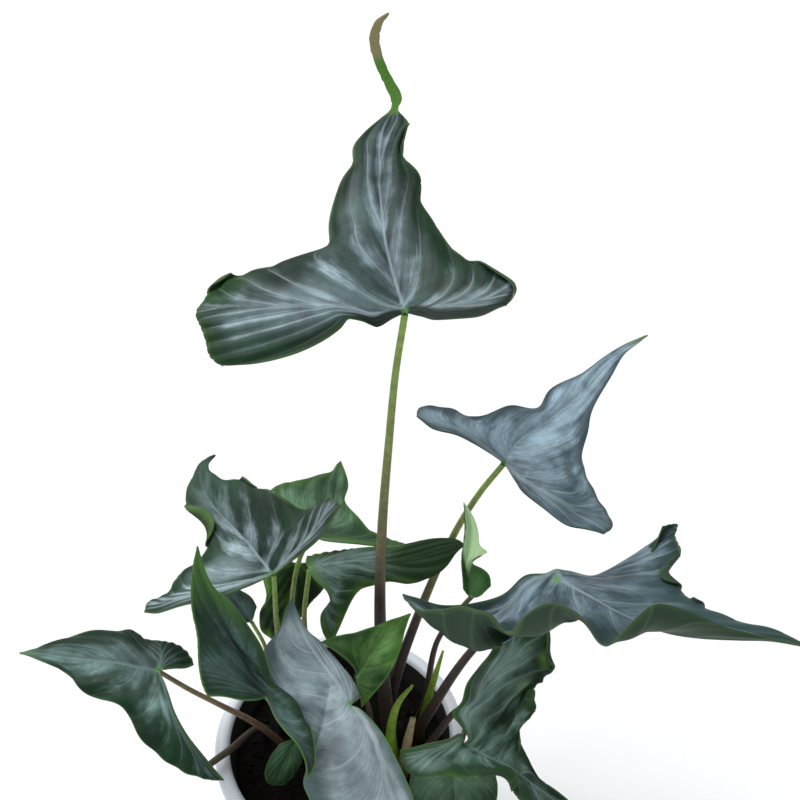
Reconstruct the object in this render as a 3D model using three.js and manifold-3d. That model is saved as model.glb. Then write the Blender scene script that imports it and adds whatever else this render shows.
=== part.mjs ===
// A potted alocasia with arrow-shaped silvery leaves: each blade sits on its own stalk,
// the stalks stand in potting soil, and the soil fills a plain white pot.
// Millimetres, +Z up. The origin is the centre of the pot's foot, and the viewer is at -Y.
import * as THREE from 'three';
import { mergeVertices } from 'three/addons/utils/BufferGeometryUtils.js';
import Module from 'manifold-3d';

// Pot
const RIM_RADIUS = 75;
const LIP_WIDTH = 9;
const LIP_DEPTH = 17;
const LIP_ROUNDING = 3;
const POT_HEIGHT = 130;
const FOOT_RADIUS = 54;
const WALL = 3;
const FLOOR_THICKNESS = 4;
const FOOT_CHAMFER = 1.5;
const POT_SEGMENTS = 48;
const DRAIN_RADIUS = 4;
const DRAIN_CIRCLE = 30;
const DRAIN_COUNT = 4;
const DRAIN_SIDES = 12;

// Soil
const SOIL_LEVEL = 112;
const SOIL_CROWN = 2;
const SOIL_EDGE_DROP = 1;
const SOIL_SHOULDER = 0.9;

// Fits: what touches keeps this much air
const AIR = 0.3;
const WELD_DISTANCE = 0.001;

// Blades: outlines are drawn on an easel that leans back to face the light
const EASEL_LEAN = THREE.MathUtils.degToRad(55);
const EASEL_HINGE = new THREE.Vector3(1, 0, 0);
const BLADE_THICKNESS = 0.9;
const JOINT = [0, 0, 0];
const CURVE_TENSION = 0.5;
const RIB_EASE = 1.5;
const EDGE_CURL = 2.2;
const BACK_FADE = 6;
const BELLY_SCALE = 27 / 4;
const DOME_SCALE = 4;

// Stalks
const HOLE_DEPTH = 14;
const STALK_SIDES = 8;
const STALK_STEPS = 10;
const STALK_TAPER = 1.4;

const WHITE_PLASTIC = { color: 0xd9dfe8, roughness: 0.35, metalness: 0 };
const DARK_SOIL = { color: 0x1c1714, roughness: 0.95, metalness: 0 };
const SILVER_LEAF = { color: 0x6f8893, roughness: 0.5, metalness: 0 };
const GREEN_LEAF = { color: 0x3d6b3c, roughness: 0.5, metalness: 0 };
const BROWN_STALK = { color: 0x5f4c40, roughness: 0.6, metalness: 0 };
const OLIVE_STALK = { color: 0x7d8f55, roughness: 0.6, metalness: 0 };
const YOUNG_SHOOT = { color: 0x6fa32b, roughness: 0.5, metalness: 0 };
const DRY_SHEATH = { color: 0xa58a5c, roughness: 0.8, metalness: 0 };

// Every leaf: its joint is where the stalk meets the blade. The rib runs from the joint to the tip.
// On each side the back edge runs from the joint to the lobe, and the front edge from the lobe to the tip.
// Points are [right, up, towards the viewer] from the joint, on the easel. The last points of rib and
// fronts, as many as tail says, pair off one to one. Dome is how far each half swells for its width;
// belly replaces it with one value for each point of the front edge. Sinus is where the back edges meet
// when that isn't the joint. A stalk's route starts with its hole in the soil, and its neck is thinner
// than its foot.
const LEAVES = [
  {
    name: 'top',
    joint: [38, 0, 417],
    look: SILVER_LEAF,
    rib: [
      [-2, 7, -3], [-7, 26, -12], [-10, 47, -25], [-11, 67, -38], [-9, 86, -50], [-4.5, 102, -58],
      [-4.5, 111, -60], [-10, 123, -60], [-14.5, 136, -58], [-12.5, 144, -56], [-7, 148, -54],
    ],
    tail: 5,
    left: {
      back: [
        [-5.5, -3.5, 4], [-12, -8, 5], [-17.5, -6.5, 6], [-23.5, -6, 8], [-27, -10.5, 12],
        [-33.5, -15.5, 16], [-42, -19.5, 19], [-51.5, -22, 22], [-61, -23, 24],
      ],
      front: [
        [-69.5, -22.5, 25], [-74.5, -19, 25], [-76, -13, 24], [-79, -6, 22], [-81, -1, 20], [-76, 9, 8],
        [-71, 14, 2], [-58, 19, -6], [-44, 24, -10], [-32, 30, -16], [-33.5, 42, -24], [-28.5, 63, -34],
        [-23, 72, -40], [-24, 82, -46], [-17, 92, -52], [-6.5, 103, -58], [-7, 111, -60],
        [-12.5, 123, -60], [-16.5, 135.5, -58], [-14, 144, -56],
      ],
    },
    right: {
      back: [[7, -4, 5], [14, -6.5, 8], [28, -5, 12]],
      front: [
        [39.5, 1.5, 14], [44, 8.5, 8], [39, 14, 2], [29.5, 21, -4], [21, 27, -12], [13, 42, -24],
        [7, 51, -28], [7.5, 60, -34], [6, 68, -38], [-2.5, 79, -44], [0, 91, -50], [2, 96, -54],
        [-3, 103, -58], [-1.5, 111, -60], [-8, 123, -60], [-12, 135.5, -58], [-10.5, 143, -56],
      ],
    },
    dome: [0.1, 0.1],
    rows: 24,
    across: 8,
    stalk: {
      look: OLIVE_STALK,
      route: [[31, -3], [27, 5, 160], [25, 10, 218], [27, 6, 290], [31, 0, 351], [34, 0, 387]],
      foot: 5,
      neck: 1.5,
    },
  },
  {
    name: 'right_high',
    joint: [88, 25, 317],
    look: SILVER_LEAF,
    rib: [[8, 11, -6], [25, 22, -14], [44, 36, -24], [56, 50, -32], [71, 60, -38], [85, 68, -44]],
    tail: 0,
    left: {
      back: [[-9, 4, 4], [-18, 8.5, 8], [-27, 13, 12], [-38, 17, 16]],
      front: [
        [-44, 24, 14], [-42, 29, 10], [-27, 28, 4], [-16.5, 23, 0], [-5, 26, -2], [5, 30, -5],
        [19, 27, -10], [24, 36, -16], [34, 42, -22], [46, 46, -28], [56.5, 54.5, -33], [71, 62.5, -39],
      ],
    },
    right: {
      back: [[4, -10, 6], [7, -16.5, 9], [16, -24, 14], [26, -31, 18], [36, -31.5, 20]],
      front: [
        [45.5, -32.5, 18], [52, -29, 13], [47, -19, 6], [42, -7, -2], [41, 3, -10], [46, 16, -18],
        [50, 28, -24], [62.5, 46.5, -32], [71, 58, -38], [80, 64.5, -42],
      ],
    },
    dome: [0.1, 0.1],
    rows: 18,
    across: 5,
    stalk: {
      look: OLIVE_STALK,
      route: [[31, 9.5], [31, 11, 150], [46, 21, 208], [65, 34, 258], [77, 31, 291]],
      foot: 4.3,
      neck: 1.5,
    },
  },
  {
    name: 'right',
    joint: [109, -29, 292],
    look: SILVER_LEAF,
    sinus: [1, 3.5, -4],
    rib: [
      [3, -1, 0], [14, -7, 8], [26, -13, 14], [37, -17, 17], [47.5, -21, 18], [63.5, -23.5, 17],
      [80, -25, 14], [98, -26.5, 10], [117, -31, 5],
    ],
    tail: 0,
    left: {
      back: [[7, 1, -8], [18, -4, -10], [29, -2, -16], [44, 5, -24], [56, 12.5, -32]],
      front: [
        [61, 19, -37], [70, 20, -40], [66, 14, -36], [68, 7, -28], [56, -1, -18], [60, -6, -10],
        [64, -11.5, -4], [72, -14.5, 1], [84, -19, 5], [99.5, -22, 6],
      ],
      belly: [-0.2, -0.2, -0.18, -0.12, -0.06, 0, 0.05, 0.05, 0.05, 0.05, 0.05],
    },
    right: {
      back: [[-4, 2, -6], [-14, 2.5, -7], [-25, -3.5, -3], [-40, -5.5, 0], [-54, -5.5, 2], [-65, -4, 2]],
      front: [
        [-72, -6, 6], [-67, -9.5, 16], [-59.5, -9.5, 22], [-46, -6, 28], [-34, -9, 30], [-26, -17.5, 30],
        [-20, -8, 36], [-10, -1, 40], [1, -6, 38], [8, -14.5, 34], [15, -22.5, 32], [22, -15, 36],
        [31, -4, 38], [39, -3, 36], [53, -8, 31], [67, -15, 25], [83, -20, 19], [102, -26, 11],
      ],
      belly: [
        -0.1, -0.25, -0.35, -0.4, -0.35, -0.2, -0.2, -0.2, -0.15, -0.1, -0.05, -0.1, -0.15, -0.15, -0.1,
        -0.1, -0.1, -0.1, -0.1,
      ],
    },
    dome: [0.05, -0.1],
    rows: 26,
    across: 6,
    stalk: {
      route: [[42, 1], [57, -5, 167], [74, -10, 216], [95, -20, 262]],
      foot: 4,
      neck: 1.5,
      clear: 1.8,
    },
  },
  {
    name: 'left_high',
    joint: [-29, 0, 264],
    look: SILVER_LEAF,
    rib: [
      [-8.5, 9, -5], [-20, 20, -12], [-32.5, 30, -20], [-41.5, 41, -27], [-44.5, 51, -33],
      [-42, 57, -37], [-38, 59, -39],
    ],
    tail: 0,
    left: {
      back: [[-4, -2.5, 2], [-11.5, -6, 5], [-25, -11, 6], [-44, -15.5, 5], [-57, -19, 4]],
      front: [
        [-65, -18.5, 3], [-63.5, -13, 1], [-54, -10, 0], [-49, 0, -2], [-41.5, 4, -4], [-34.5, 14, -8],
        [-35.5, 22, -13], [-41.5, 27.5, -17], [-49, 32, -21], [-51.5, 38.5, -27], [-49.5, 46, -32],
        [-46.5, 54.5, -36],
      ],
    },
    right: {
      back: [[9, 5, 4], [20.5, 13, 9], [28.5, 20.5, 12], [33.5, 30, 12]],
      front: [
        [35.5, 37, 10], [31, 39.5, 6], [27, 39.5, 2], [21, 34, -2], [12, 34, -4], [2.5, 39.5, -8],
        [-5.5, 43, -12], [-12, 42, -15], [-19, 47, -20], [-24.5, 46, -23], [-32, 46.5, -27],
        [-40, 49.5, -31], [-41.5, 54, -35],
      ],
    },
    dome: [0.1, 0.1],
    rows: 18,
    across: 5,
    stalk: { look: OLIVE_STALK, route: [[-28, 9], [-29, 6, 160], [-31, 3, 217]], foot: 2.5, neck: 1.3 },
  },
  {
    name: 'left',
    joint: [-96, -9, 199],
    look: SILVER_LEAF,
    rib: [[-10, 2, 2], [-23, 5, 3], [-37, 6, 2], [-55, 6.5, -2], [-69, 7, -6], [-81, 6.5, -10]],
    tail: 0,
    left: {
      back: [[6, -5.5, 5], [11, -10.5, 12], [16, -18, 18], [24, -27, 25], [34, -36, 31]],
      front: [
        [43, -44, 36], [36, -44.5, 35], [22, -42, 32], [8.5, -35.5, 28], [-3.5, -27.5, 23],
        [-10, -18, 20], [-16.5, -11.5, 18], [-28, -10.5, 15], [-37, -8, 12], [-43.5, -2, 8],
        [-56, 3, 3], [-69.5, 5.5, -4],
      ],
    },
    right: {
      back: [[7, -0.5, -2], [13, -1.5, -6]],
      front: [
        [17, 0.5, -9], [12.5, 6, -13], [5, 10.5, -15], [-5, 12, -15], [-13, 13, -15], [-19, 17.5, -17],
        [-30, 17, -18], [-45, 16, -19], [-58.5, 13, -18], [-69, 9, -16], [-76, 7, -13],
      ],
    },
    dome: [0.1, 0.1],
    rows: 18,
    across: 5,
    stalk: {
      route: [[-34, -1], [-38, -2, 124], [-50, -3, 143], [-67, -6, 164], [-82, -8, 181]],
      foot: 2.7,
      neck: 1.4,
    },
  },
  {
    name: 'front_left',
    joint: [-30.5, -45.5, 225.5],
    look: GREEN_LEAF,
    rib: [[-8, 15, -1], [-17.5, 31, 0], [-26, 47, 2], [-31.5, 62, 5], [-32, 76.5, 8]],
    tail: 0,
    left: {
      back: [[-4.5, 0, 3], [-11.5, 1, 6], [-20, 4, 9.5]],
      front: [
        [-26, 5, 12.5], [-29, 11.5, 12.5], [-31, 22, 11], [-31.5, 33.5, 10], [-34.5, 45.5, 9],
        [-35, 56, 8.5], [-34, 67.5, 8.5],
      ],
    },
    right: {
      back: [[3, -2.5, 1], [7, -8.5, 4], [12.5, -13.5, 8], [18.5, -18.5, 12], [22, -25.5, 15]],
      front: [
        [22.5, -33, 17], [26, -27, 16], [26, -20, 15], [25, -13.5, 13], [22, -9, 11], [17, -7, 9],
        [12, -6.5, 7], [6, 0, 4], [2, 11.5, 1], [-1.5, 24, -1], [-9.5, 37, -1], [-17, 46.5, 0],
        [-23.5, 53, 2], [-28.5, 62.5, 5],
      ],
    },
    dome: [0.1, 0.1],
    rows: 18,
    across: 5,
    stalk: {
      route: [[-24, -9], [-20, -10, 140], [-20, -14, 156], [-25, -24, 182], [-30, -36, 212]],
      foot: 2.5,
      neck: 1.3,
    },
  },
  {
    name: 'front',
    joint: [11, -44.5, 218],
    look: SILVER_LEAF,
    rib: [[-7, 10, -4], [-15.5, 19, -9], [-23.5, 28.5, -15], [-28.5, 37.5, -19], [-32, 48, -22]],
    tail: 0,
    left: {
      back: [
        [6, -1, 3], [12.5, -5.5, 7], [18.5, -11.5, 11], [23.5, -19, 15], [28.5, -28.5, 18],
        [32.5, -39.5, 21], [31, -53, 24],
      ],
      front: [
        [30.5, -52, 26], [22, -63, 28], [7.5, -61.5, 28], [-4.5, -56.5, 24], [-13, -48, 20],
        [-19.5, -37.5, 16], [-22, -32, 14], [-20, -24.5, 12], [-20, -16.5, 9], [-24, -9.5, 6],
        [-31.5, -6, 2], [-38, -1, -4], [-42.5, 10, -7], [-46, 24, -11], [-37.5, 32.5, -17],
        [-36, 41, -22],
      ],
    },
    right: {
      back: [[1.5, -0.5, -6], [3, -0.5, -11]],
      front: [
        [2.5, 2.5, -15], [0.5, 6.5, -18], [-4.5, 11.5, -20], [-10.5, 18.5, -21], [-17, 26, -21],
        [-23, 30.5, -21], [-28, 38.5, -22],
      ],
    },
    dome: [0.06, 0.15],
    rows: 22,
    across: 6,
    stalk: { route: [[-15, -6], [-10, -17, 165], [2, -32, 200]], foot: 3, neck: 1.5 },
  },
  {
    name: 'front_right',
    joint: [68, -50, 193],
    look: GREEN_LEAF,
    rib: [[11, -5, 2], [23.5, -10, 5], [36, -18, 7], [49, -27, 8], [64.5, -36.5, 8]],
    tail: 0,
    left: {
      back: [
        [3, 3, -1], [-1, 10, 1], [-5, 16, 1], [0, 20.5, -3], [3, 28.5, -7], [10, 36.5, -11],
        [16.5, 43, -15], [21, 53, -19],
      ],
      front: [
        [32.5, 62.5, -23], [44, 60, -20], [47, 50, -15], [47, 40, -11], [47, 36.5, -5], [36, 30, -8],
        [38, 24.5, -5], [35, 18, -2], [26.5, 12, -3], [29.5, 4.5, 1], [34, -6, 4], [37, -14, 6],
        [46, -19.5, 8], [56.5, -28, 9],
      ],
    },
    right: {
      back: [[-2, 6.5, 2], [-9, 5, 5], [-20, 4, 9]],
      front: [
        [-32, 2, 12], [-30, -6, 14], [-23.5, -10, 15], [-11, -9, 14], [2.5, -11, 14], [16, -9, 13],
        [23, -13.5, 12], [25, -19.5, 12], [32.5, -26.5, 12], [48, -33, 11],
      ],
    },
    dome: [0.05, 0.1],
    rows: 20,
    across: 5,
    stalk: { route: [[45, -11], [58, -14, 150], [68, -22, 182], [71, -36, 195]], foot: 3, neck: 1.4 },
  },
  {
    name: 'middle',
    joint: [13, -20, 209],
    look: GREEN_LEAF,
    rib: [[6, 8, -2], [12.5, 16, -5], [20.5, 23.5, -8], [29, 30, -12]],
    tail: 0,
    left: {
      back: [[-2, 5, 1], [-8.5, 11, 0], [-14.5, 14.5, -2]],
      front: [[-19, 17, -3], [-13, 19.5, -4], [-3.5, 21, -5], [7, 23.5, -7], [18, 27, -10]],
    },
    right: {
      back: [[1, -4, 3], [2.5, -8.5, 6]],
      front: [[3, -14, 8], [8, -8.5, 7], [15.5, -0.5, 5], [20.5, 7.5, 2], [24, 16, -2], [26, 23.5, -7]],
    },
    dome: [0.1, 0.1],
    rows: 10,
    across: 3,
    stalk: { route: [[20, -10], [19, -10, 160]], foot: 2.3, neck: 1.3 },
  },
  {
    name: 'back',
    joint: [-14.5, 49, 243.5],
    look: GREEN_LEAF,
    rib: [[10, 9, -6], [12, 22.5, -12.5], [14, 34, -17.5], [15, 42, -20.5]],
    tail: 0,
    left: {
      back: [[-12, 2, 6], [-22, 8, 8]],
      front: [
        [-27.5, 16.5, 8], [-25.5, 25, 4], [-18, 30.5, 0], [-7.5, 31.5, -6], [1.5, 34.5, -11.5],
        [9.5, 35.5, -15.5], [13, 40.5, -18.5],
      ],
    },
    right: {
      back: [[6, -2.5, 2], [13.5, -4, 2], [24.5, -5, 2], [37, -6.5, 0], [47.5, -7, -3]],
      front: [
        [55, -5.5, -5], [48.5, -3.5, -5], [37, 0.5, -5], [29.5, 6, -7], [23, 13.5, -9], [17, 20, -12.5],
        [20.5, 27, -15.5], [17.5, 36.5, -18.5],
      ],
    },
    dome: [0.1, 0.1],
    rows: 14,
    across: 4,
    stalk: {
      look: OLIVE_STALK,
      route: [[-27, 20], [-28, 27, 165], [-27, 38, 208], [-22, 47, 229]],
      foot: 2.5,
      neck: 1.3,
    },
  },
  {
    name: 'back_middle',
    joint: [-15, 30, 237],
    look: SILVER_LEAF,
    rib: [[12, 3, 1], [26, 5, 3], [43, 5.5, 7], [59, 7.5, 11], [72.5, 12, 16], [86, 17, 20]],
    tail: 0,
    left: {
      back: [[-2, 2, -5]],
      front: [
        [-2, 5, -11], [7, 7.5, -9], [19, 9.5, -7], [29.5, 11, -5], [40.5, 12.5, -1], [52.5, 13, 3],
        [57, 16, 6], [68.5, 18.5, 10], [80, 20, 15],
      ],
    },
    right: {
      back: [[1.5, -2.5, 2], [5.5, -6.5, 4], [11, -11, 5], [13, -18, 5], [8, -23.5, 6], [8.5, -32, 8]],
      front: [
        [13, -40.5, 9], [18.5, -29, 9], [23.5, -17.5, 8], [29, -9.5, 8], [37.5, -7, 8], [45.5, -5, 9],
        [56.5, -5.5, 12], [65.5, -2.5, 15], [75.5, 4, 18], [80, 11.5, 20],
      ],
    },
    dome: [0.05, 0.05],
    rows: 14,
    across: 4,
    stalk: { look: OLIVE_STALK, route: [[-16, 16], [-18, 20, 165], [-19, 24, 205]], foot: 2.6, neck: 1.3 },
  },
  {
    name: 'unfurling',
    joint: [73, 0, 247],
    look: GREEN_LEAF,
    rib: [[-2, 11, 0], [-2, 19, 0], [0.5, 32, -1], [0, 42, -2], [-3.5, 49.5, -3]],
    tail: 0,
    left: {
      back: [[-2, 2, 1]],
      front: [[-4, 5, 2], [-4.5, 14, 3], [-5, 22, 2], [-3.5, 31, 2], [-3, 40, 1], [-3, 46, -1]],
    },
    right: {
      back: [[5, 2, 4]],
      front: [
        [10, 7.5, 6], [9.5, 13, 6], [5.5, 16.5, 4], [0.5, 18.5, 3], [2.5, 21.5, 4], [9, 25, 5],
        [4.5, 27.5, 3], [4, 35, 1], [1.5, 43, -1],
      ],
    },
    dome: [0, 0.1],
    rows: 12,
    across: 2,
    stalk: { route: [[45, 13], [51, 10, 146], [57, 8, 203], [70, 3, 238]], foot: 2.8, neck: 1.3 },
  },
  {
    name: 'low_right',
    joint: [66, -41, 153],
    look: SILVER_LEAF,
    rib: [[0, -9, 6], [0.5, -20, 14], [0, -31, 22], [-2, -42, 30]],
    tail: 0,
    left: {
      back: [[7, 5, -3], [14, 7, -4]],
      front: [[20, 4, -2], [23, -4, 4], [21, -14, 11], [15, -24, 18], [7, -34, 25]],
    },
    right: {
      back: [[-7, 4, -2], [-16, 6, -3]],
      front: [[-23, 3, -1], [-25, -6, 5], [-22, -16, 12], [-16, -26, 19], [-9, -36, 26]],
    },
    dome: [0.15, 0.15],
    rows: 10,
    across: 3,
    stalk: { route: [[54, -6], [58, -12, 135]], foot: 2.2, neck: 1.2 },
  },
  {
    name: 'low_left',
    joint: [-24, -14, 145],
    look: GREEN_LEAF,
    rib: [[-4, -8, 3], [-9, -17, 5], [-13, -25, 6]],
    tail: 0,
    left: {
      back: [[2, -2, 0]],
      front: [[4, -7, 1], [3, -14, 2], [-1, -20, 4], [-6, -25, 5]],
    },
    right: {
      back: [[-4, -1, 1]],
      front: [[-9, -3, 2], [-14, -9, 4], [-17, -16, 5], [-17, -22, 6]],
    },
    dome: [0.15, 0.15],
    rows: 8,
    across: 3,
    stalk: { route: [[-29, -6], [-28, -9, 128]], foot: 1.6, neck: 1 },
  },
  {
    name: 'left_inner',
    joint: [-46, 9, 217],
    look: GREEN_LEAF,
    rib: [[-5, 6, 0], [-11, 13, -1], [-16, 19, -3]],
    tail: 0,
    left: {
      back: [[-4, 0, 1]],
      front: [[-9, 1, 2], [-15, 4, 2], [-18, 9, 1], [-18, 15, -1]],
    },
    right: {
      back: [[2, 4, 1]],
      front: [[3, 9, 1], [0, 14, 0], [-5, 17, -1], [-11, 19, -2]],
    },
    dome: [0.15, 0.15],
    rows: 8,
    across: 3,
    stalk: { look: OLIVE_STALK, route: [[-38, 10], [-39, 11, 160], [-41, 11, 195]], foot: 1.8, neck: 1.1 },
  },
  {
    name: 'back_low',
    joint: [-26, 60, 211],
    look: GREEN_LEAF,
    rib: [[-3, -12, 1], [-9, -29, -2], [-15.5, -49, -8]],
    tail: 0,
    left: {
      back: [[9, 0, -1]],
      front: [[19.5, -6.5, -4], [15, -17, -2], [7.5, -24, 0], [1, -35, -2], [-7.5, -44, -5]],
    },
    right: {
      back: [[-9, 1.5, -1]],
      front: [[-22, -3, -5], [-21, -12, -3], [-18.5, -21, -1], [-23.5, -31, -2], [-23, -42, -5]],
    },
    dome: [0.1, 0.1],
    rows: 8,
    across: 3,
    stalk: { look: OLIVE_STALK, route: [[-24, 36], [-25, 56, 155], [-27, 74, 196]], foot: 2, neck: 1.2 },
  },
];

// Other things that grow from the soil: a rolled young leaf, two papery sheaths and a spent stalk.
// Radii follow the route, and flat is how thin the piece is sideways for its width.
const SHOOTS = [
  {
    name: 'rolled_shoot',
    look: YOUNG_SHOOT,
    route: [[34, -14], [31.5, -14, 133], [31, -12, 152], [35, -9, 170], [43, -6, 182]],
    radii: [3.2, 4, 3.4, 2.8, 2, 0.8],
    flat: 1,
  },
  {
    name: 'green_sheath',
    look: YOUNG_SHOOT,
    route: [[49, 6], [50, 4, 140], [54, 2, 168], [60, 2, 202]],
    radii: [2, 2.2, 2.4, 2, 0.7],
    flat: 0.4,
  },
  {
    name: 'dry_sheath',
    look: DRY_SHEATH,
    route: [[38, -19], [38.5, -18, 128], [41, -15, 147], [43.5, -12, 161]],
    radii: [3, 3.2, 3, 2.6, 1.6],
    flat: 0.35,
  },
  {
    name: 'spent_stalk',
    look: BROWN_STALK,
    route: [[-46, 12], [-52, 2, 128], [-62, -16, 137], [-70, -24, 138], [-77, -30, 137]],
    radii: [2.8, 2.7, 2.5, 2.3, 2.1, 1.9],
    flat: 1,
  },
];

const wasm = await Module();
wasm.setup();

// Solids, for the cuts that holes need
function solidOf(geometry) {
  const bare = geometry.clone();
  bare.deleteAttribute('normal');
  bare.deleteAttribute('uv');
  const merged = mergeVertices(bare, WELD_DISTANCE);
  return new wasm.Manifold(new wasm.Mesh({
    numProp: 3,
    vertProperties: merged.attributes.position.array,
    triVerts: new Uint32Array(merged.index.array),
  }));
}

function geometryOf(solid) {
  const { vertProperties, triVerts } = solid.getMesh();
  const geometry = new THREE.BufferGeometry();
  geometry.setAttribute('position', new THREE.BufferAttribute(vertProperties, 3));
  geometry.setIndex(new THREE.BufferAttribute(triVerts, 1));
  geometry.computeVertexNormals();
  return geometry;
}

function trianglesGeometry(points, triangles) {
  const places = points.flatMap((point) => point.toArray());
  const geometry = new THREE.BufferGeometry();
  geometry.setAttribute('position', new THREE.Float32BufferAttribute(places, 3));
  geometry.setIndex(triangles.flat());
  geometry.computeVertexNormals();
  return geometry;
}

function addMesh(group, name, geometry, look) {
  const mesh = new THREE.Mesh(geometry, new THREE.MeshStandardMaterial(look));
  mesh.name = name;
  group.add(mesh);
  return mesh;
}

// A curve through drawn points, and its point at a place counted in points
function smoothCurve(points) {
  const vectors = points.map((point) => new THREE.Vector3(...point));
  return new THREE.CatmullRomCurve3(vectors, false, 'catmullrom', CURVE_TENSION);
}

function curvePoint(curve, place) {
  return curve.getPoint(place / (curve.points.length - 1));
}

// A value between two entries of a list
function valueBetween(values, place) {
  const index = Math.min(Math.floor(place), values.length - 2);
  return THREE.MathUtils.lerp(values[index], values[index + 1], Math.min(place - index, 1));
}

// The rows of a blade run from the rib out to the edge, as its side veins do.
// Each row has its place on the rib and on the front edge, both counted in points.
function bladeRowPlaces(leaf, side) {
  const ribEnd = leaf.rib.length - leaf.tail;
  const edgeEnd = side.front.length - leaf.tail;
  const places = [];
  for (let row = 0; row <= leaf.rows; row += 1) {
    const share = row / leaf.rows;
    places.push({ share, rib: ribEnd * share ** RIB_EASE, edge: edgeEnd * share });
  }
  for (let step = 1; step <= leaf.tail; step += 1) {
    places.push({ share: 1, rib: ribEnd + step, edge: edgeEnd + step });
  }
  return places;
}

// How far a blade half swells away from its chord, from the rib (0) to the edge (1)
function swelling(side, dome, place, reach) {
  if (side.belly) return valueBetween(side.belly, place) * BELLY_SCALE * reach ** 2 * (1 - reach);
  return dome * DOME_SCALE * reach * (1 - reach);
}

// One half of a blade. Its waves fade towards the rib, and its first rows follow the back edge.
function bladeSide(leaf, side, facing, dome) {
  const notch = leaf.sinus ?? JOINT;
  const rib = smoothCurve([notch, ...leaf.rib]);
  const edge = smoothCurve([...side.front, leaf.rib.at(-1)]);
  const back = smoothCurve([notch, ...side.back, side.front[0]]);
  const lastEdge = edge.points.length - 1;
  const lastBack = back.points.length - 1;
  return bladeRowPlaces(leaf, side).map((place) => {
    const start = curvePoint(rib, place.rib);
    const end = curvePoint(edge, place.edge);
    const before = curvePoint(edge, Math.max(place.edge - 1, 0));
    const after = curvePoint(edge, Math.min(place.edge + 1, lastEdge));
    const waviness = Math.min(1, place.edge, side.front.length - leaf.tail - place.edge);
    const level = end.clone().multiplyScalar(2).add(before).add(after).divideScalar(4);
    level.lerp(end, 1 - Math.max(waviness, 0));
    const across = level.clone().sub(start);
    const along = after.clone().sub(before);
    const out = along.cross(across).setLength(facing * across.length());
    const backShare = (1 - place.share) ** BACK_FADE;
    const row = [];
    for (let step = 1; step <= leaf.across; step += 1) {
      const reach = step / leaf.across;
      const chord = back.points[0].clone().lerp(back.points[lastBack], reach);
      const bow = curvePoint(back, reach * lastBack).sub(chord);
      row.push(start.clone()
        .addScaledVector(across, reach)
        .addScaledVector(end.clone().sub(level), reach ** EDGE_CURL)
        .addScaledVector(out, swelling(side, dome, place.edge, reach))
        .addScaledVector(bow, backShare));
    }
    return { start, row };
  });
}

// The middle surface of a blade: rows of points from the left edge over the rib to the right edge
function bladeSurface(leaf) {
  const leftRows = bladeSide(leaf, leaf.left, 1, leaf.dome[0]);
  const rightRows = bladeSide(leaf, leaf.right, -1, leaf.dome[1]);
  const width = 2 * leaf.across + 1;
  const points = [];
  const triangles = [];
  leftRows.slice(0, -1).forEach((left, row) => {
    points.push(...left.row.toReversed(), left.start, ...rightRows[row].row);
  });
  const rowCount = leftRows.length - 1;
  for (let row = 0; row < rowCount - 1; row += 1) {
    for (let column = 0; column < width - 1; column += 1) {
      const a = row * width + column;
      const b = a + 1;
      const c = b + width;
      const d = a + width;
      triangles.push([a, b, c], [a, c, d]);
    }
  }
  const tip = points.push(leftRows.at(-1).start) - 1;
  const lastRow = (rowCount - 1) * width;
  for (let column = 0; column < width - 1; column += 1) {
    triangles.push([lastRow + column, lastRow + column + 1, tip]);
  }
  return { points, triangles };
}

function pointNormals({ points, triangles }) {
  const normals = points.map(() => new THREE.Vector3());
  for (const [a, b, c] of triangles) {
    const side = points[b].clone().sub(points[a]);
    const face = side.cross(points[c].clone().sub(points[a]));
    for (const corner of [a, b, c]) normals[corner].add(face);
  }
  return normals.map((normal) => normal.normalize());
}

// Gives a surface its thickness: the same triangles on both faces, and a wall along the open edge
function thicken(surface, thickness) {
  const { points, triangles } = surface;
  const normals = pointNormals(surface);
  const half = thickness / 2;
  const upper = points.map((point, index) => point.clone().addScaledVector(normals[index], half));
  const lower = points.map((point, index) => point.clone().addScaledVector(normals[index], -half));
  const count = points.length;
  const faces = [];
  const edges = new Map();
  for (const [a, b, c] of triangles) {
    faces.push([a, b, c], [count + c, count + b, count + a]);
    for (const [from, to] of [[a, b], [b, c], [c, a]]) {
      if (!edges.delete(`${to} ${from}`)) edges.set(`${from} ${to}`, [from, to]);
    }
  }
  for (const [from, to] of edges.values()) {
    faces.push([to, from, count + from], [to, count + from, count + to]);
  }
  return trianglesGeometry([...upper, ...lower], faces);
}

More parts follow.
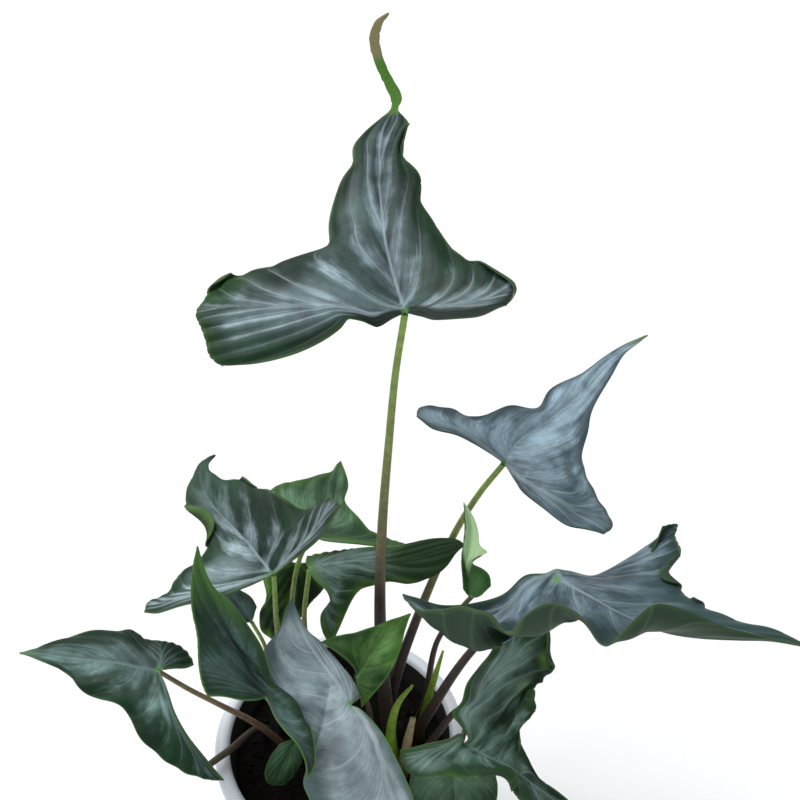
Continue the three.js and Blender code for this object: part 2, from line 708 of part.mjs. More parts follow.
// A bar along a curve, closed at both ends, with its half width and half thickness at each share
function barGeometry(curve, widthAt, thicknessAt) {
  const points = [];
  const faces = [];
  let outward = new THREE.Vector3(1, 0, 0);
  for (let step = 0; step <= STALK_STEPS; step += 1) {
    const share = step / STALK_STEPS;
    const tangent = curve.getTangentAt(share);
    outward = outward.addScaledVector(tangent, -outward.dot(tangent)).normalize();
    const sideways = tangent.clone().cross(outward);
    const centre = curve.getPointAt(share);
    for (let side = 0; side < STALK_SIDES; side += 1) {
      const angle = (side / STALK_SIDES) * 2 * Math.PI;
      points.push(centre.clone()
        .addScaledVector(outward, Math.cos(angle) * widthAt(share))
        .addScaledVector(sideways, Math.sin(angle) * thicknessAt(share)));
    }
  }
  for (let step = 0; step < STALK_STEPS; step += 1) {
    for (let side = 0; side < STALK_SIDES; side += 1) {
      const a = step * STALK_SIDES + side;
      const b = step * STALK_SIDES + ((side + 1) % STALK_SIDES);
      faces.push([a, b, b + STALK_SIDES], [a, b + STALK_SIDES, a + STALK_SIDES]);
    }
  }
  const foot = points.push(curve.getPointAt(0)) - 1;
  const neck = points.push(curve.getPointAt(1)) - 1;
  const lastRing = STALK_STEPS * STALK_SIDES;
  for (let side = 0; side < STALK_SIDES; side += 1) {
    const next = (side + 1) % STALK_SIDES;
    faces.push([foot, next, side], [neck, lastRing + side, lastRing + next]);
  }
  return trianglesGeometry(points, faces);
}

// What grows from the soil starts at the bottom of its hole and leaves the soil upright
function growthCurve([[x, y], ...bends], extraDepth) {
  const foot = new THREE.Vector3(x, y, SOIL_LEVEL - HOLE_DEPTH - extraDepth);
  const collar = new THREE.Vector3(x, y, SOIL_LEVEL);
  const higher = bends.map((point) => new THREE.Vector3(...point));
  return new THREE.CatmullRomCurve3([foot, collar, ...higher], false, 'centripetal');
}

// Where a stalk ends, just under its blade's joint
function stalkEnd(leaf, surface) {
  const normals = pointNormals(surface);
  const distances = surface.points.map((point) => point.length());
  const nearest = distances.indexOf(Math.min(...distances));
  const normal = normals[nearest].clone().applyAxisAngle(EASEL_HINGE, EASEL_LEAN);
  const joint = new THREE.Vector3(...leaf.joint);
  const lastBend = new THREE.Vector3(...leaf.stalk.route.at(-1));
  const direction = joint.clone().sub(lastBend).normalize();
  const slant = Math.sqrt(1 - direction.dot(normal) ** 2);
  const drop = BLADE_THICKNESS / 2 + AIR + leaf.stalk.neck * slant + (leaf.stalk.clear ?? 0);
  return joint.addScaledVector(normal, -drop).toArray();
}

// The same stalk, with some air round it, also cuts its own hole in the soil
function stalkGeometry(leaf, surface, air) {
  const { route, foot, neck } = leaf.stalk;
  const radiusAt = (share) => neck + air + (foot - neck) * (1 - share) ** STALK_TAPER;
  return barGeometry(growthCurve([...route, stalkEnd(leaf, surface)], air), radiusAt, radiusAt);
}

function shootGeometry(shoot, air) {
  const radiusAt = (share) => valueBetween(shoot.radii, share * (shoot.radii.length - 1));
  const widthAt = (share) => radiusAt(share) + air;
  const thicknessAt = (share) => radiusAt(share) * shoot.flat + air;
  return barGeometry(growthCurve(shoot.route, air), widthAt, thicknessAt);
}

// The pot: a tapering wall, a thick rolled lip and a flat foot with drain holes
function wallRadius(height) {
  const topRadius = RIM_RADIUS - LIP_WIDTH + WALL;
  return THREE.MathUtils.lerp(FOOT_RADIUS, topRadius, height / POT_HEIGHT);
}

function potGeometry() {
  const lipFoot = POT_HEIGHT - LIP_DEPTH;
  const rimInside = RIM_RADIUS - LIP_WIDTH;
  const arris = LIP_ROUNDING / 3;
  const profile = [
    [0, 0],
    [FOOT_RADIUS - FOOT_CHAMFER, 0],
    [FOOT_RADIUS, FOOT_CHAMFER],
    [wallRadius(lipFoot - LIP_ROUNDING), lipFoot - LIP_ROUNDING],
    [RIM_RADIUS - LIP_ROUNDING, lipFoot],
    [RIM_RADIUS - arris, lipFoot + LIP_ROUNDING],
    [RIM_RADIUS, POT_HEIGHT - LIP_ROUNDING],
    [RIM_RADIUS - arris, POT_HEIGHT - arris],
    [RIM_RADIUS - LIP_ROUNDING, POT_HEIGHT],
    [rimInside + LIP_ROUNDING, POT_HEIGHT],
    [rimInside + arris, POT_HEIGHT - arris],
    [rimInside, POT_HEIGHT - LIP_ROUNDING],
    [wallRadius(FLOOR_THICKNESS) - WALL, FLOOR_THICKNESS],
    [0, FLOOR_THICKNESS],
  ];
  const outline = profile.map(([radius, height]) => new THREE.Vector2(radius, height));
  let pot = solidOf(new THREE.LatheGeometry(outline, POT_SEGMENTS).rotateX(Math.PI / 2));
  for (let drain = 0; drain < DRAIN_COUNT; drain += 1) {
    const angle = (drain / DRAIN_COUNT) * 2 * Math.PI;
    const hole = new THREE.CylinderGeometry(DRAIN_RADIUS, DRAIN_RADIUS, 4 * FLOOR_THICKNESS, DRAIN_SIDES);
    hole.rotateX(Math.PI / 2);
    hole.translate(DRAIN_CIRCLE * Math.cos(angle), DRAIN_CIRCLE * Math.sin(angle), 0);
    pot = pot.subtract(solidOf(hole));
  }
  return geometryOf(pot);
}

// The soil fills the pot, a little higher in the middle, with a plain hole round each thing that grows
function soilGeometry(holes) {
  const rimInside = RIM_RADIUS - LIP_WIDTH;
  const floorRadius = wallRadius(FLOOR_THICKNESS) - WALL;
  const innerHeight = POT_HEIGHT - LIP_ROUNDING - FLOOR_THICKNESS;
  const radiusAt = (height) => {
    const inside = THREE.MathUtils.lerp(floorRadius, rimInside, (height - FLOOR_THICKNESS) / innerHeight);
    return inside - 2 * AIR;
  };
  const bottom = FLOOR_THICKNESS + AIR;
  const edge = SOIL_LEVEL - SOIL_EDGE_DROP;
  const profile = [
    [0, bottom],
    [radiusAt(bottom), bottom],
    [radiusAt(edge), edge],
    [radiusAt(edge) * SOIL_SHOULDER, SOIL_LEVEL],
    [radiusAt(edge) / 2, SOIL_LEVEL + SOIL_CROWN / 2],
    [0, SOIL_LEVEL + SOIL_CROWN],
  ];
  const outline = profile.map(([radius, height]) => new THREE.Vector2(radius, height));
  let soil = solidOf(new THREE.LatheGeometry(outline, POT_SEGMENTS).rotateX(Math.PI / 2));
  for (const hole of holes) soil = soil.subtract(solidOf(hole));
  return geometryOf(soil);
}

const plant = new THREE.Group();
const soilHoles = [];
addMesh(plant, 'pot', potGeometry(), WHITE_PLASTIC);
for (const leaf of LEAVES) {
  const surface = bladeSurface(leaf);
  const blade = addMesh(plant, `blade_${leaf.name}`, thicken(surface, BLADE_THICKNESS), leaf.look);
  blade.position.set(...leaf.joint);
  blade.rotation.x = EASEL_LEAN;
  addMesh(plant, `stalk_${leaf.name}`, stalkGeometry(leaf, surface, 0), leaf.stalk.look ?? BROWN_STALK);
  soilHoles.push(stalkGeometry(leaf, surface, AIR));
}
for (const shoot of SHOOTS) {
  addMesh(plant, shoot.name, shootGeometry(shoot, 0), shoot.look);
  soilHoles.push(shootGeometry(shoot, AIR));
}
addMesh(plant, 'soil', soilGeometry(soilHoles), DARK_SOIL);

export default plant;
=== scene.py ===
import math

import bpy
import numpy as np
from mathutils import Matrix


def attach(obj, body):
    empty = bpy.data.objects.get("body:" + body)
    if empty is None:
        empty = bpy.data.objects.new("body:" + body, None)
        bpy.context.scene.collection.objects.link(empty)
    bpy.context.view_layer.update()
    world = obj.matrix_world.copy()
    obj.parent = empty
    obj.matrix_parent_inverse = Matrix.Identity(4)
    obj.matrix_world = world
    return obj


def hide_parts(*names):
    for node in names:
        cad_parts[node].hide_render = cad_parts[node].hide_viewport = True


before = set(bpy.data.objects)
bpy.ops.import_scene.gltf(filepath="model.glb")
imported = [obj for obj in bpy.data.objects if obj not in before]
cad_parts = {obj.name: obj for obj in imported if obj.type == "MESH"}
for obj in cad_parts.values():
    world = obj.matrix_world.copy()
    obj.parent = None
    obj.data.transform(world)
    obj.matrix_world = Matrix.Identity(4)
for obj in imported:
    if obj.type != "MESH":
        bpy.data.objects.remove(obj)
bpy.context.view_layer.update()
bpy.ops.object.select_all(action="DESELECT")

# The studio. The camera looks down at the plant at 35 degrees, from where the photo was taken. A bright
# hazy sky lights it softly from above, and the pot stands on a wide pale floor.
LOOK_DOWN = math.radians(35)
bpy.ops.object.camera_add(location=(0.036, -0.309, 0.590), rotation=(math.pi / 2 - LOOK_DOWN, 0, 0))
camera = bpy.context.object
camera.data.sensor_width = 36
camera.data.lens = 38.61
camera.data.clip_end = 50
bpy.context.scene.camera = camera

FLOOR_SIDE = 60
bpy.ops.mesh.primitive_plane_add(size=FLOOR_SIDE)
floor = bpy.context.object
floor.name = "floor"
floor_paint = bpy.data.materials.new("floor_paint")
floor_paint.use_nodes = True
floor_paint.node_tree.nodes["Principled BSDF"].inputs["Base Color"].default_value = (0.93, 0.93, 0.93, 1)
floor_paint.node_tree.nodes["Principled BSDF"].inputs["Roughness"].default_value = 0.9
floor.data.materials.append(floor_paint)

bpy.ops.object.light_add(type="SUN", rotation=(math.radians(-12), math.radians(-24), 0))
sky_light = bpy.context.object
sky_light.data.energy = 2.7
sky_light.data.angle = math.radians(50)
room = bpy.data.worlds.new("room")
room.use_nodes = True
room.node_tree.nodes["Background"].inputs["Color"].default_value = (0.96, 0.98, 1, 1)
room.node_tree.nodes["Background"].inputs["Strength"].default_value = 0.4
bpy.context.scene.world = room
bpy.context.scene.view_settings.view_transform = "Standard"

# The pot: a white nursery pot, blown from thin plastic, with a thick rolled lip to lift it by and
# four drain holes in its foot. It is turned here from one ring, pulled up and in along its outline.
MM = 0.001
RIM = 75 * MM
LIP_WIDTH = 9 * MM
LIP_DEPTH = 17 * MM
LIP_ROUNDING = 3 * MM
POT_HEIGHT = 130 * MM
FOOT = 54 * MM
WALL = 3 * MM
POT_FLOOR = 4 * MM
EDGE_ROUNDING = 1.2 * MM
DRAINS = 4
DRAIN_RADIUS = 4 * MM
DRAIN_CIRCLE = 30 * MM


def wall_radius(height):
    return FOOT + (RIM - LIP_WIDTH + WALL - FOOT) * height / POT_HEIGHT


def use_material(piece, *materials):
    piece.data.materials.clear()
    for material in materials:
        piece.data.materials.append(material)


def new_material(name, roughness, specular):
    """A material with its shader, and a way to add nodes whose inputs are values or other sockets."""
    material = bpy.data.materials.new(name)
    material.use_nodes = True
    tree = material.node_tree
    shader = tree.nodes["Principled BSDF"]
    shader.inputs["Roughness"].default_value = roughness
    shader.inputs["Specular IOR Level"].default_value = specular

    def add(kind, inputs=(), **settings):
        made = tree.nodes.new("ShaderNode" + kind)
        for key, value in settings.items():
            setattr(made, key, value)
        for key, value in dict(inputs).items():
            if isinstance(value, bpy.types.NodeSocket):
                tree.links.new(value, made.inputs[key])
            else:
                made.inputs[key].default_value = value
        return made

    def feed(key, socket):
        tree.links.new(socket, shader.inputs[key])

    return material, add, feed


def noise(add, place, scale, detail, **more):
    """Soft uneven patches over a surface, from nought to one."""
    return add("TexNoise", {"Vector": place, "Scale": scale, "Detail": detail, **more}).outputs["Fac"]


def mixed(add, share, first, second):
    """A colour between two, where each is three numbers or the socket of a node."""
    ends = [end if isinstance(end, bpy.types.NodeSocket) else (*end, 1) for end in (first, second)]
    return add("Mix", {0: share, 6: ends[0], 7: ends[1]}, data_type="RGBA").outputs[2]


def ranged(add, value, at_low, at_high, low=0, high=1, kind="LINEAR"):
    """A value that goes from at_low to at_high while another goes from low to high."""
    ends = {0: value, 1: low, 2: high, 3: at_low, 4: at_high}
    return add("MapRange", ends, interpolation_type=kind).outputs[0]


def bump(add, height, strength, distance):
    return add("Bump", {"Strength": strength, "Distance": distance, "Height": height}).outputs[0]


def white_plastic():
    material, add, feed = new_material("white_plastic", roughness=0.38, specular=0.5)
    place = add("TexCoord").outputs["Object"]
    cloud = noise(add, place, scale=18, detail=4)
    scuff = noise(add, place, scale=260, detail=2, Roughness=0.7)
    feed("Base Color", mixed(add, cloud, (0.66, 0.71, 0.78), (0.80, 0.84, 0.89)))
    feed("Roughness", ranged(add, scuff, 0.3, 0.5))
    feed("Normal", bump(add, scuff, strength=0.12, distance=0.0004))
    return material


def painted_inner_shade():
    """Painted shade on the inside of the wall: a near-black colour that stands in for the shade inside
    the pot.
    """
    material, add, feed = new_material("painted_inner_shade", roughness=0.6, specular=0.3)
    place = add("TexCoord").outputs["Object"]
    dust = noise(add, place, scale=140, detail=5, Roughness=0.7)
    feed("Base Color", mixed(add, dust, (0.006, 0.006, 0.007), (0.030, 0.027, 0.024)))
    feed("Roughness", ranged(add, dust, 0.5, 0.8))
    return material


bpy.ops.mesh.primitive_circle_add(vertices=160, radius=FOOT, fill_type="NOTHING")
pot = bpy.context.object
pot.name = "pot_shell"
bpy.ops.object.mode_set(mode="EDIT")
bpy.ops.mesh.select_all(action="SELECT")
lip_foot = POT_HEIGHT - LIP_DEPTH
rim_inside = RIM - LIP_WIDTH
arris = LIP_ROUNDING / 3
radius, height = FOOT, 0
for next_radius, next_height in [
    (wall_radius(lip_foot - LIP_ROUNDING), lip_foot - LIP_ROUNDING),
    (RIM - LIP_ROUNDING, lip_foot),
    (RIM - arris, lip_foot + LIP_ROUNDING),
    (RIM, POT_HEIGHT - LIP_ROUNDING),
    (RIM - arris, POT_HEIGHT - arris),
    (RIM - LIP_ROUNDING, POT_HEIGHT),
    (rim_inside + LIP_ROUNDING, POT_HEIGHT),
    (rim_inside + arris, POT_HEIGHT - arris),
    (rim_inside, POT_HEIGHT - LIP_ROUNDING),
    (wall_radius(POT_FLOOR) - WALL, POT_FLOOR),
]:
    bpy.ops.mesh.extrude_edges_move(TRANSFORM_OT_translate={"value": (0, 0, next_height - height)})
    grow = next_radius / radius
    bpy.ops.transform.resize(value=(grow, grow, 1), center_override=(0, 0, next_height))
    radius, height = next_radius, next_height
bpy.ops.mesh.edge_face_add()
bpy.ops.mesh.select_all(action="DESELECT")
bpy.ops.object.mode_set(mode="OBJECT")
for edge in pot.data.edges:
    edge.select = all(pot.data.vertices[end].co.z < MM / 10 for end in edge.vertices)
bpy.ops.object.mode_set(mode="EDIT")
bpy.ops.mesh.edge_face_add()
bpy.ops.mesh.select_all(action="SELECT")
bpy.ops.mesh.normals_make_consistent(inside=False)
bpy.ops.object.mode_set(mode="OBJECT")
rounding = pot.modifiers.new("rounding", "BEVEL")
rounding.width = EDGE_ROUNDING
rounding.segments = 3
rounding.angle_limit = math.radians(20)
bpy.ops.object.modifier_apply(modifier="rounding")
for drain in range(DRAINS):
    turn = drain * 2 * math.pi / DRAINS
    bpy.ops.mesh.primitive_cylinder_add(
        vertices=32,
        radius=DRAIN_RADIUS,
        depth=4 * POT_FLOOR,
        location=(DRAIN_CIRCLE * math.cos(turn), DRAIN_CIRCLE * math.sin(turn), 0),
    )
    drill = bpy.context.object
    bpy.context.view_layer.objects.active = pot
    cut = pot.modifiers.new("drain", "BOOLEAN")
    cut.object = drill
    bpy.ops.object.modifier_apply(modifier="drain")
    bpy.data.objects.remove(drill)
bpy.ops.object.select_all(action="DESELECT")
pot.select_set(True)
bpy.ops.object.shade_smooth_by_angle(angle=math.radians(35))
use_material(pot, white_plastic(), painted_inner_shade())
# The painted shade goes on the faces of the wall that look inward, from the pot's floor up to its lip
for face in pot.data.polygons:
    looks_inward = face.normal.x * face.center.x + face.normal.y * face.center.y < 0
    within_rim = math.hypot(face.center.x, face.center.y) < rim_inside - 0.2 * MM
    above_floor = POT_FLOOR / 2 < face.center.z < POT_HEIGHT - LIP_ROUNDING
    face.material_index = int(looks_inward and within_rim and above_floor)
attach(pot, "root")
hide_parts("pot")

# The soil: dark moist potting mix of peat and bark crumbs, filled to a finger's breadth below the rim
# and a little higher in the middle. One plate is pulled down into the pot and its top is made uneven.
SOIL_LEVEL = 112 * MM
SOIL_GAP = 0.6 * MM
SOIL_CROWN = 2 * MM
SOIL_DIP = 1.5 * MM
SOIL_RINGS = 46
SOIL_FOOT = 0.84
LUMPS = 3.4 * MM
BARK_CHIPS = 240
SMALLEST_CHIP = 0.8
LARGEST_CHIP = 2.2
CHIP_LIFT = 0.6 * MM
CHIP_MARGIN = 4 * MM


def math_of(add, operation, first, second=0.0, third=0.0):
    return add("Math", {0: first, 1: second, 2: third}, operation=operation).outputs[0]


def multiplied(add, colour, other, share=1.0):
    """A colour times another colour or a level."""
    factors = {"Fac": share, "Color1": colour, "Color2": other}
    return add("MixRGB", factors, blend_type="MULTIPLY").outputs["Color"]


def potting_soil():
    material, add, feed = new_material("potting_soil", roughness=0.95, specular=0.08)
    place = add("TexCoord").outputs["Object"]
    crumbs = add("TexVoronoi", {"Vector": place, "Scale": 420, "Randomness": 1})
    fibre = noise(add, place, scale=900, detail=6, Roughness=0.7)
    shade = mixed(add, fibre, (0.003, 0.003, 0.003), (0.014, 0.011, 0.009))
    feed("Base Color", multiplied(add, shade, crumbs.outputs["Color"], share=0.5))
    feed("Roughness", ranged(add, fibre, 0.8, 1))
    rough = math_of(add, "ADD", crumbs.outputs["Distance"], fibre)
    feed("Normal", bump(add, rough, strength=0.8, distance=0.002))
    return material


def potting_bark():
    material, add, feed = new_material("potting_bark", roughness=0.9, specular=0.08)
    place = add("TexCoord").outputs["Object"]
    grain = noise(add, place, scale=700, detail=5, Distortion=2)
    tint = add("ValToRGB", {"Fac": grain})
    tint.color_ramp.elements[0].color = (0.004, 0.003, 0.003, 1)
    tint.color_ramp.elements[1].color = (0.022, 0.016, 0.011, 1)
    feed("Base Color", tint.outputs["Color"])
    feed("Normal", bump(add, grain, strength=0.7, distance=0.001))
    return material


soil_rim = wall_radius(SOIL_LEVEL) - WALL - SOIL_GAP
bpy.ops.mesh.primitive_circle_add(
    vertices=200, radius=soil_rim, fill_type="NOTHING", location=(0, 0, SOIL_LEVEL)
)
soil = bpy.context.object
soil.name = "soil_fill"
bpy.ops.object.transform_apply()
bpy.ops.object.mode_set(mode="EDIT")
bpy.ops.mesh.select_all(action="SELECT")
for ring in range(SOIL_RINGS, 1, -1):
    bpy.ops.mesh.extrude_edges_move(TRANSFORM_OT_translate={"value": (0, 0, 0)})
    shrink = (ring - 1) / ring
    bpy.ops.transform.resize(value=(shrink, shrink, 1), center_override=(0, 0, SOIL_LEVEL))
bpy.ops.mesh.edge_face_add()
bpy.ops.mesh.select_all(action="DESELECT")
bpy.ops.object.mode_set(mode="OBJECT")
crumble = bpy.data.textures.new("crumble", "CLOUDS")
crumble.noise_scale = 0.008
lumps = soil.modifiers.new("lumps", "DISPLACE")
lumps.texture = crumble
lumps.direction = "Z"
lumps.strength = LUMPS
lumps.mid_level = 0.5
bpy.ops.object.modifier_apply(modifier="lumps")
for corner in soil.data.vertices:
    outwards = math.hypot(corner.co.x, corner.co.y) / soil_rim
    lump = (corner.co.z - SOIL_LEVEL) * (1 - outwards ** 12)
    corner.co.z = SOIL_LEVEL + lump + SOIL_CROWN * (1 - outwards) - SOIL_DIP * outwards ** 8
    corner.select = outwards > 0.999
bpy.ops.object.mode_set(mode="EDIT")
bpy.ops.mesh.extrude_edges_move(TRANSFORM_OT_translate={"value": (0, 0, 0)})
bpy.ops.transform.resize(value=(SOIL_FOOT, SOIL_FOOT, 0), center_override=(0, 0, POT_FLOOR + 0.4 * MM))
bpy.ops.mesh.edge_face_add()
bpy.ops.mesh.select_all(action="SELECT")
bpy.ops.mesh.normals_make_consistent(inside=False)
bpy.ops.object.mode_set(mode="OBJECT")
bpy.ops.object.shade_smooth()
use_material(soil, potting_soil())
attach(soil, "root")
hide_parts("soil")

# Crumbs of pine bark lie about on the soil, as they come in the bag of mix: small flattened lumps, half
# sunk in. Their places, sizes and turns are drawn by chance from a fixed start.
chance = np.random.default_rng(11)
bark_mix = potting_bark()
chips = []
for _ in range(BARK_CHIPS):
    turn = chance.uniform(0, 2 * math.pi)
    distance = (soil_rim - CHIP_MARGIN) * math.sqrt(chance.uniform(0, 1))
    size = chance.uniform(SMALLEST_CHIP, LARGEST_CHIP) * MM
    bpy.ops.mesh.primitive_ico_sphere_add(
        subdivisions=1,
        radius=size,
        location=(distance * math.cos(turn), distance * math.sin(turn), SOIL_LEVEL + CHIP_LIFT),
        rotation=tuple(chance.uniform(0, math.pi, 3)),
        scale=(1.5, 1, 0.5),
    )
    chips.append(bpy.context.object)
with bpy.context.temp_override(active_object=chips[0], selected_editable_objects=chips):
    bpy.ops.object.join()
bark = chips[0]
bark.name = "soil_bark"
bpy.ops.object.select_all(action="DESELECT")
bark.select_set(True)
bpy.context.view_layer.objects.active = bark
bpy.ops.object.transform_apply()
use_material(bark, bark_mix)
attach(bark, "root")

# The tallest leaf stands over the whole plant, its blade leaning back to the light and drawn out in a
# long drip tip. A leaf is one thin living sheet: rib and side veins are pale, the upper face carries a
# silvery bloom that fades to dark green at the waved margin, and the lower face is plain green.
EASEL_LEAN = math.radians(55)
BLADE_THICKNESS = 0.75 * MM
# Powers that ease the rows in at the joint, and the margin into its waves
RIB_EASE = 1.5
BACK_FADE = 6
EDGE_CURL = 2.2
# Half the length of a rounded corner of the margin, in drawn points, and the least share of a lobe
CORNER = 0.4
LEAST_LOBE = 0.06
# How tightly a flap of the margin is rolled, in millimetres
FOLD_RADIUS = 1.1
FLAP_ROUNDING = 0.7
FOLD_STEPS = 14
TAIL_STEPS = 6
# These bring the two swelling curves to a height of one
DOME_SCALE = 4
BELLY_SCALE = 27 / 4
# These keep a division from going by nought
LEAST_LENGTH = 1e-9
LEAST_STEP = 0.05


def through(points, places):
    """The points of a smooth curve through drawn points, at places counted in points."""
    drawn = np.asarray(points, float)
    padded = np.vstack([2 * drawn[0] - drawn[1], drawn, 2 * drawn[-1] - drawn[-2]])
    places = np.asarray(places, float)
    index = np.clip(np.floor(places).astype(int), 0, len(drawn) - 2)
    share = (places - index)[..., None]
    before, start, end, after = (padded[index + step] for step in range(4))
    leave = (end - before) / 2
    arrive = (after - start) / 2
    cubic = 2 * start - 2 * end + leave + arrive
    square = 3 * end - 3 * start - 2 * leave - arrive
    return ((cubic * share + square) * share + leave) * share + start


def lifted(points, joint):
    """From [right, up, towards the viewer] on the easel, in millimetres, to the plant's own frame."""
    right, up, near = np.moveaxis(points, -1, 0)
    back = up * math.cos(EASEL_LEAN) - near * math.sin(EASEL_LEAN)
    high = up * math.sin(EASEL_LEAN) + near * math.cos(EASEL_LEAN)
    return (np.stack([right, back, high], -1) + joint) * MM


def blade_half(leaf, side, facing, dome, share, tail_step, reach):
    """One half of a blade, as rows of points from the rib out to the edge."""
    notch = leaf.get("notch", (0, 0, 0))
    rib = [notch, *leaf["rib"]]
    front = [*leaf[f"{side}_front"], leaf["rib"][-1]]
    back = [notch, *leaf[f"{side}_back"], front[0]]
    belly = leaf.get(f"{side}_belly")
    tail = leaf.get("tail", 0)
    rib_end = len(leaf["rib"]) - tail
    edge_end = len(front) - 1 - tail
    edge_place = edge_end * share + tail_step
    start = through(rib, rib_end * share ** RIB_EASE + tail_step)
    nearest_end = np.clip(np.minimum(edge_place, edge_end - edge_place), 0, CORNER)[:, None] / CORNER
    end = through(front, edge_place)
    just_before = through(front, np.maximum(edge_place - CORNER, 0))
    just_after = through(front, np.minimum(edge_place + CORNER, edge_end))
    end = end + ((just_before + just_after) / 2 - end) * nearest_end / 2
    before = through(front, np.maximum(edge_place - 1, 0))
    after = through(front, np.minimum(edge_place + 1, len(front) - 1))
    waviness = np.clip(np.minimum(edge_place, edge_end - edge_place), 0, 1)[:, None]
    level = end + ((2 * end + before + after) / 4 - end) * waviness
    across = level - start
    width = np.linalg.norm(across, axis=1, keepdims=True)
    out = np.cross(after - before, across)
    out *= facing * width / np.maximum(np.linalg.norm(out, axis=1, keepdims=True), LEAST_LENGTH)
    straight_back = back[0] + (np.array(back[-1]) - back[0]) * reach[:, None]
    bow = through(back, reach * (len(back) - 1)) - straight_back
    if belly:
        fullness = np.interp(edge_place, range(len(belly)), belly)[:, None]
        swelling = fullness * BELLY_SCALE * reach ** 2 * (1 - reach)
    else:
        swelling = dome * DOME_SCALE * reach * (1 - reach) * np.ones((len(share), 1))
    rows = start[:, None] + across[:, None] * reach[:, None]
    rows += (end - level)[:, None] * (reach ** EDGE_CURL)[:, None]
    rows += out[:, None] * swelling[..., None]
    rows += bow[None] * ((1 - share) ** BACK_FADE)[:, None, None]
    return rows


def evened(directions, spread=4):
    """Directions of length one, each evened out with its neighbours in the list."""
    lengths = np.maximum(np.linalg.norm(directions, axis=1, keepdims=True), LEAST_LENGTH)
    padded = np.pad(directions / lengths, ((spread, spread), (0, 0)), mode="edge")
    even = sum(padded[step:step + len(directions)] for step in range(2 * spread + 1))
    return even / np.maximum(np.linalg.norm(even, axis=1, keepdims=True), LEAST_LENGTH)


def folded_margin(rows, facing, edge_place, folds):
    """Carries the edge on into the flaps that are rolled over it, each from one edge place to another."""
    edge = rows[:, -1]
    outward = evened(edge - rows[:, -4])
    normal = evened(np.cross(np.gradient(edge, axis=0), outward) * facing)
    length = np.zeros(len(rows))
    turn = np.zeros(len(rows))
    for first, last, width, degrees in folds:
        passed = np.clip((edge_place - first) / (last - first), 0, 1)
        window = np.clip(np.sin(math.pi * passed), 0, 1) ** FLAP_ROUNDING
        length += width * window
        turn += math.radians(degrees) * (window > 0)
    flap = [edge]
    for step in range(1, FOLD_STEPS + 1):
        gone = length * (step - 0.5) / FOLD_STEPS
        angle = np.clip(gone / FOLD_RADIUS, 0, np.abs(turn)) * np.sign(turn)
        along = outward * np.cos(angle)[:, None] + normal * np.sin(angle)[:, None]
        flap.append(flap[-1] + along * (length / FOLD_STEPS)[:, None])
    return np.concatenate([rows, np.stack(flap[1:], 1)], axis=1)


def shaped_grid(name, columns, rows, place):
    """A flat grid, taken point by point to where place says."""
    bpy.ops.object.select_all(action="DESELECT")
    bpy.ops.mesh.primitive_grid_add(x_subdivisions=columns, y_subdivisions=rows, size=1)
    piece = bpy.context.object
    piece.name = name
    flat = np.empty(len(piece.data.vertices) * 3)
    piece.data.vertices.foreach_get("co", flat)
    column, row, _ = np.rint((flat.reshape(-1, 3) + 0.5) * (columns, rows, 0)).astype(int).T
    piece.data.vertices.foreach_set("co", place[row, column].ravel())
    piece.data.update()
    return piece, row, column


def grid_normals(points):
    along = np.gradient(points, axis=0)
    across = np.gradient(points, axis=1)
    normals = np.cross(across, along)
    return normals / np.maximum(np.linalg.norm(normals, axis=2, keepdims=True), LEAST_LENGTH)


def keep_with(piece, name, values):
    """Stores three numbers for each point of a piece, for its material to read."""
    store = piece.data.attributes.new(name, "FLOAT_VECTOR", "POINT")
    store.data.foreach_set("vector", np.ascontiguousarray(values, dtype=np.float32).ravel())


def lobe_tip_share(leaf, side):
    """How far along the edge the tip of the lobe lies: it is the drawn point farthest from the joint."""
    front = leaf[f"{side}_front"]
    edge_end = len(front) - leaf.get("tail", 0)
    lobe = front[:max(2, edge_end // 3 + 1)]
    return max(np.argmax([math.dist(point, (0, 0, 0)) for point in lobe]) / edge_end, LEAST_LOBE)


# How far the side veins of the left half are shifted, counted in veins
SIDE_SHIFT = 0.4
# How much sooner than those of the midrib the side veins of a lobe bend
LOBE_BEND = 0.6
LEAST_STEEPNESS = 1e-3
# The rest is in millimetres
RIB_RISE = 0.4
RIB_WIDTH = 1.1
RIB_START = 3
CALM_BY_RIB = 5
CALM_BY_JOINT = 8
FULL_SPACING = 9
WIDEST_SPACING = 30
MERGE_WITHIN = 0.02


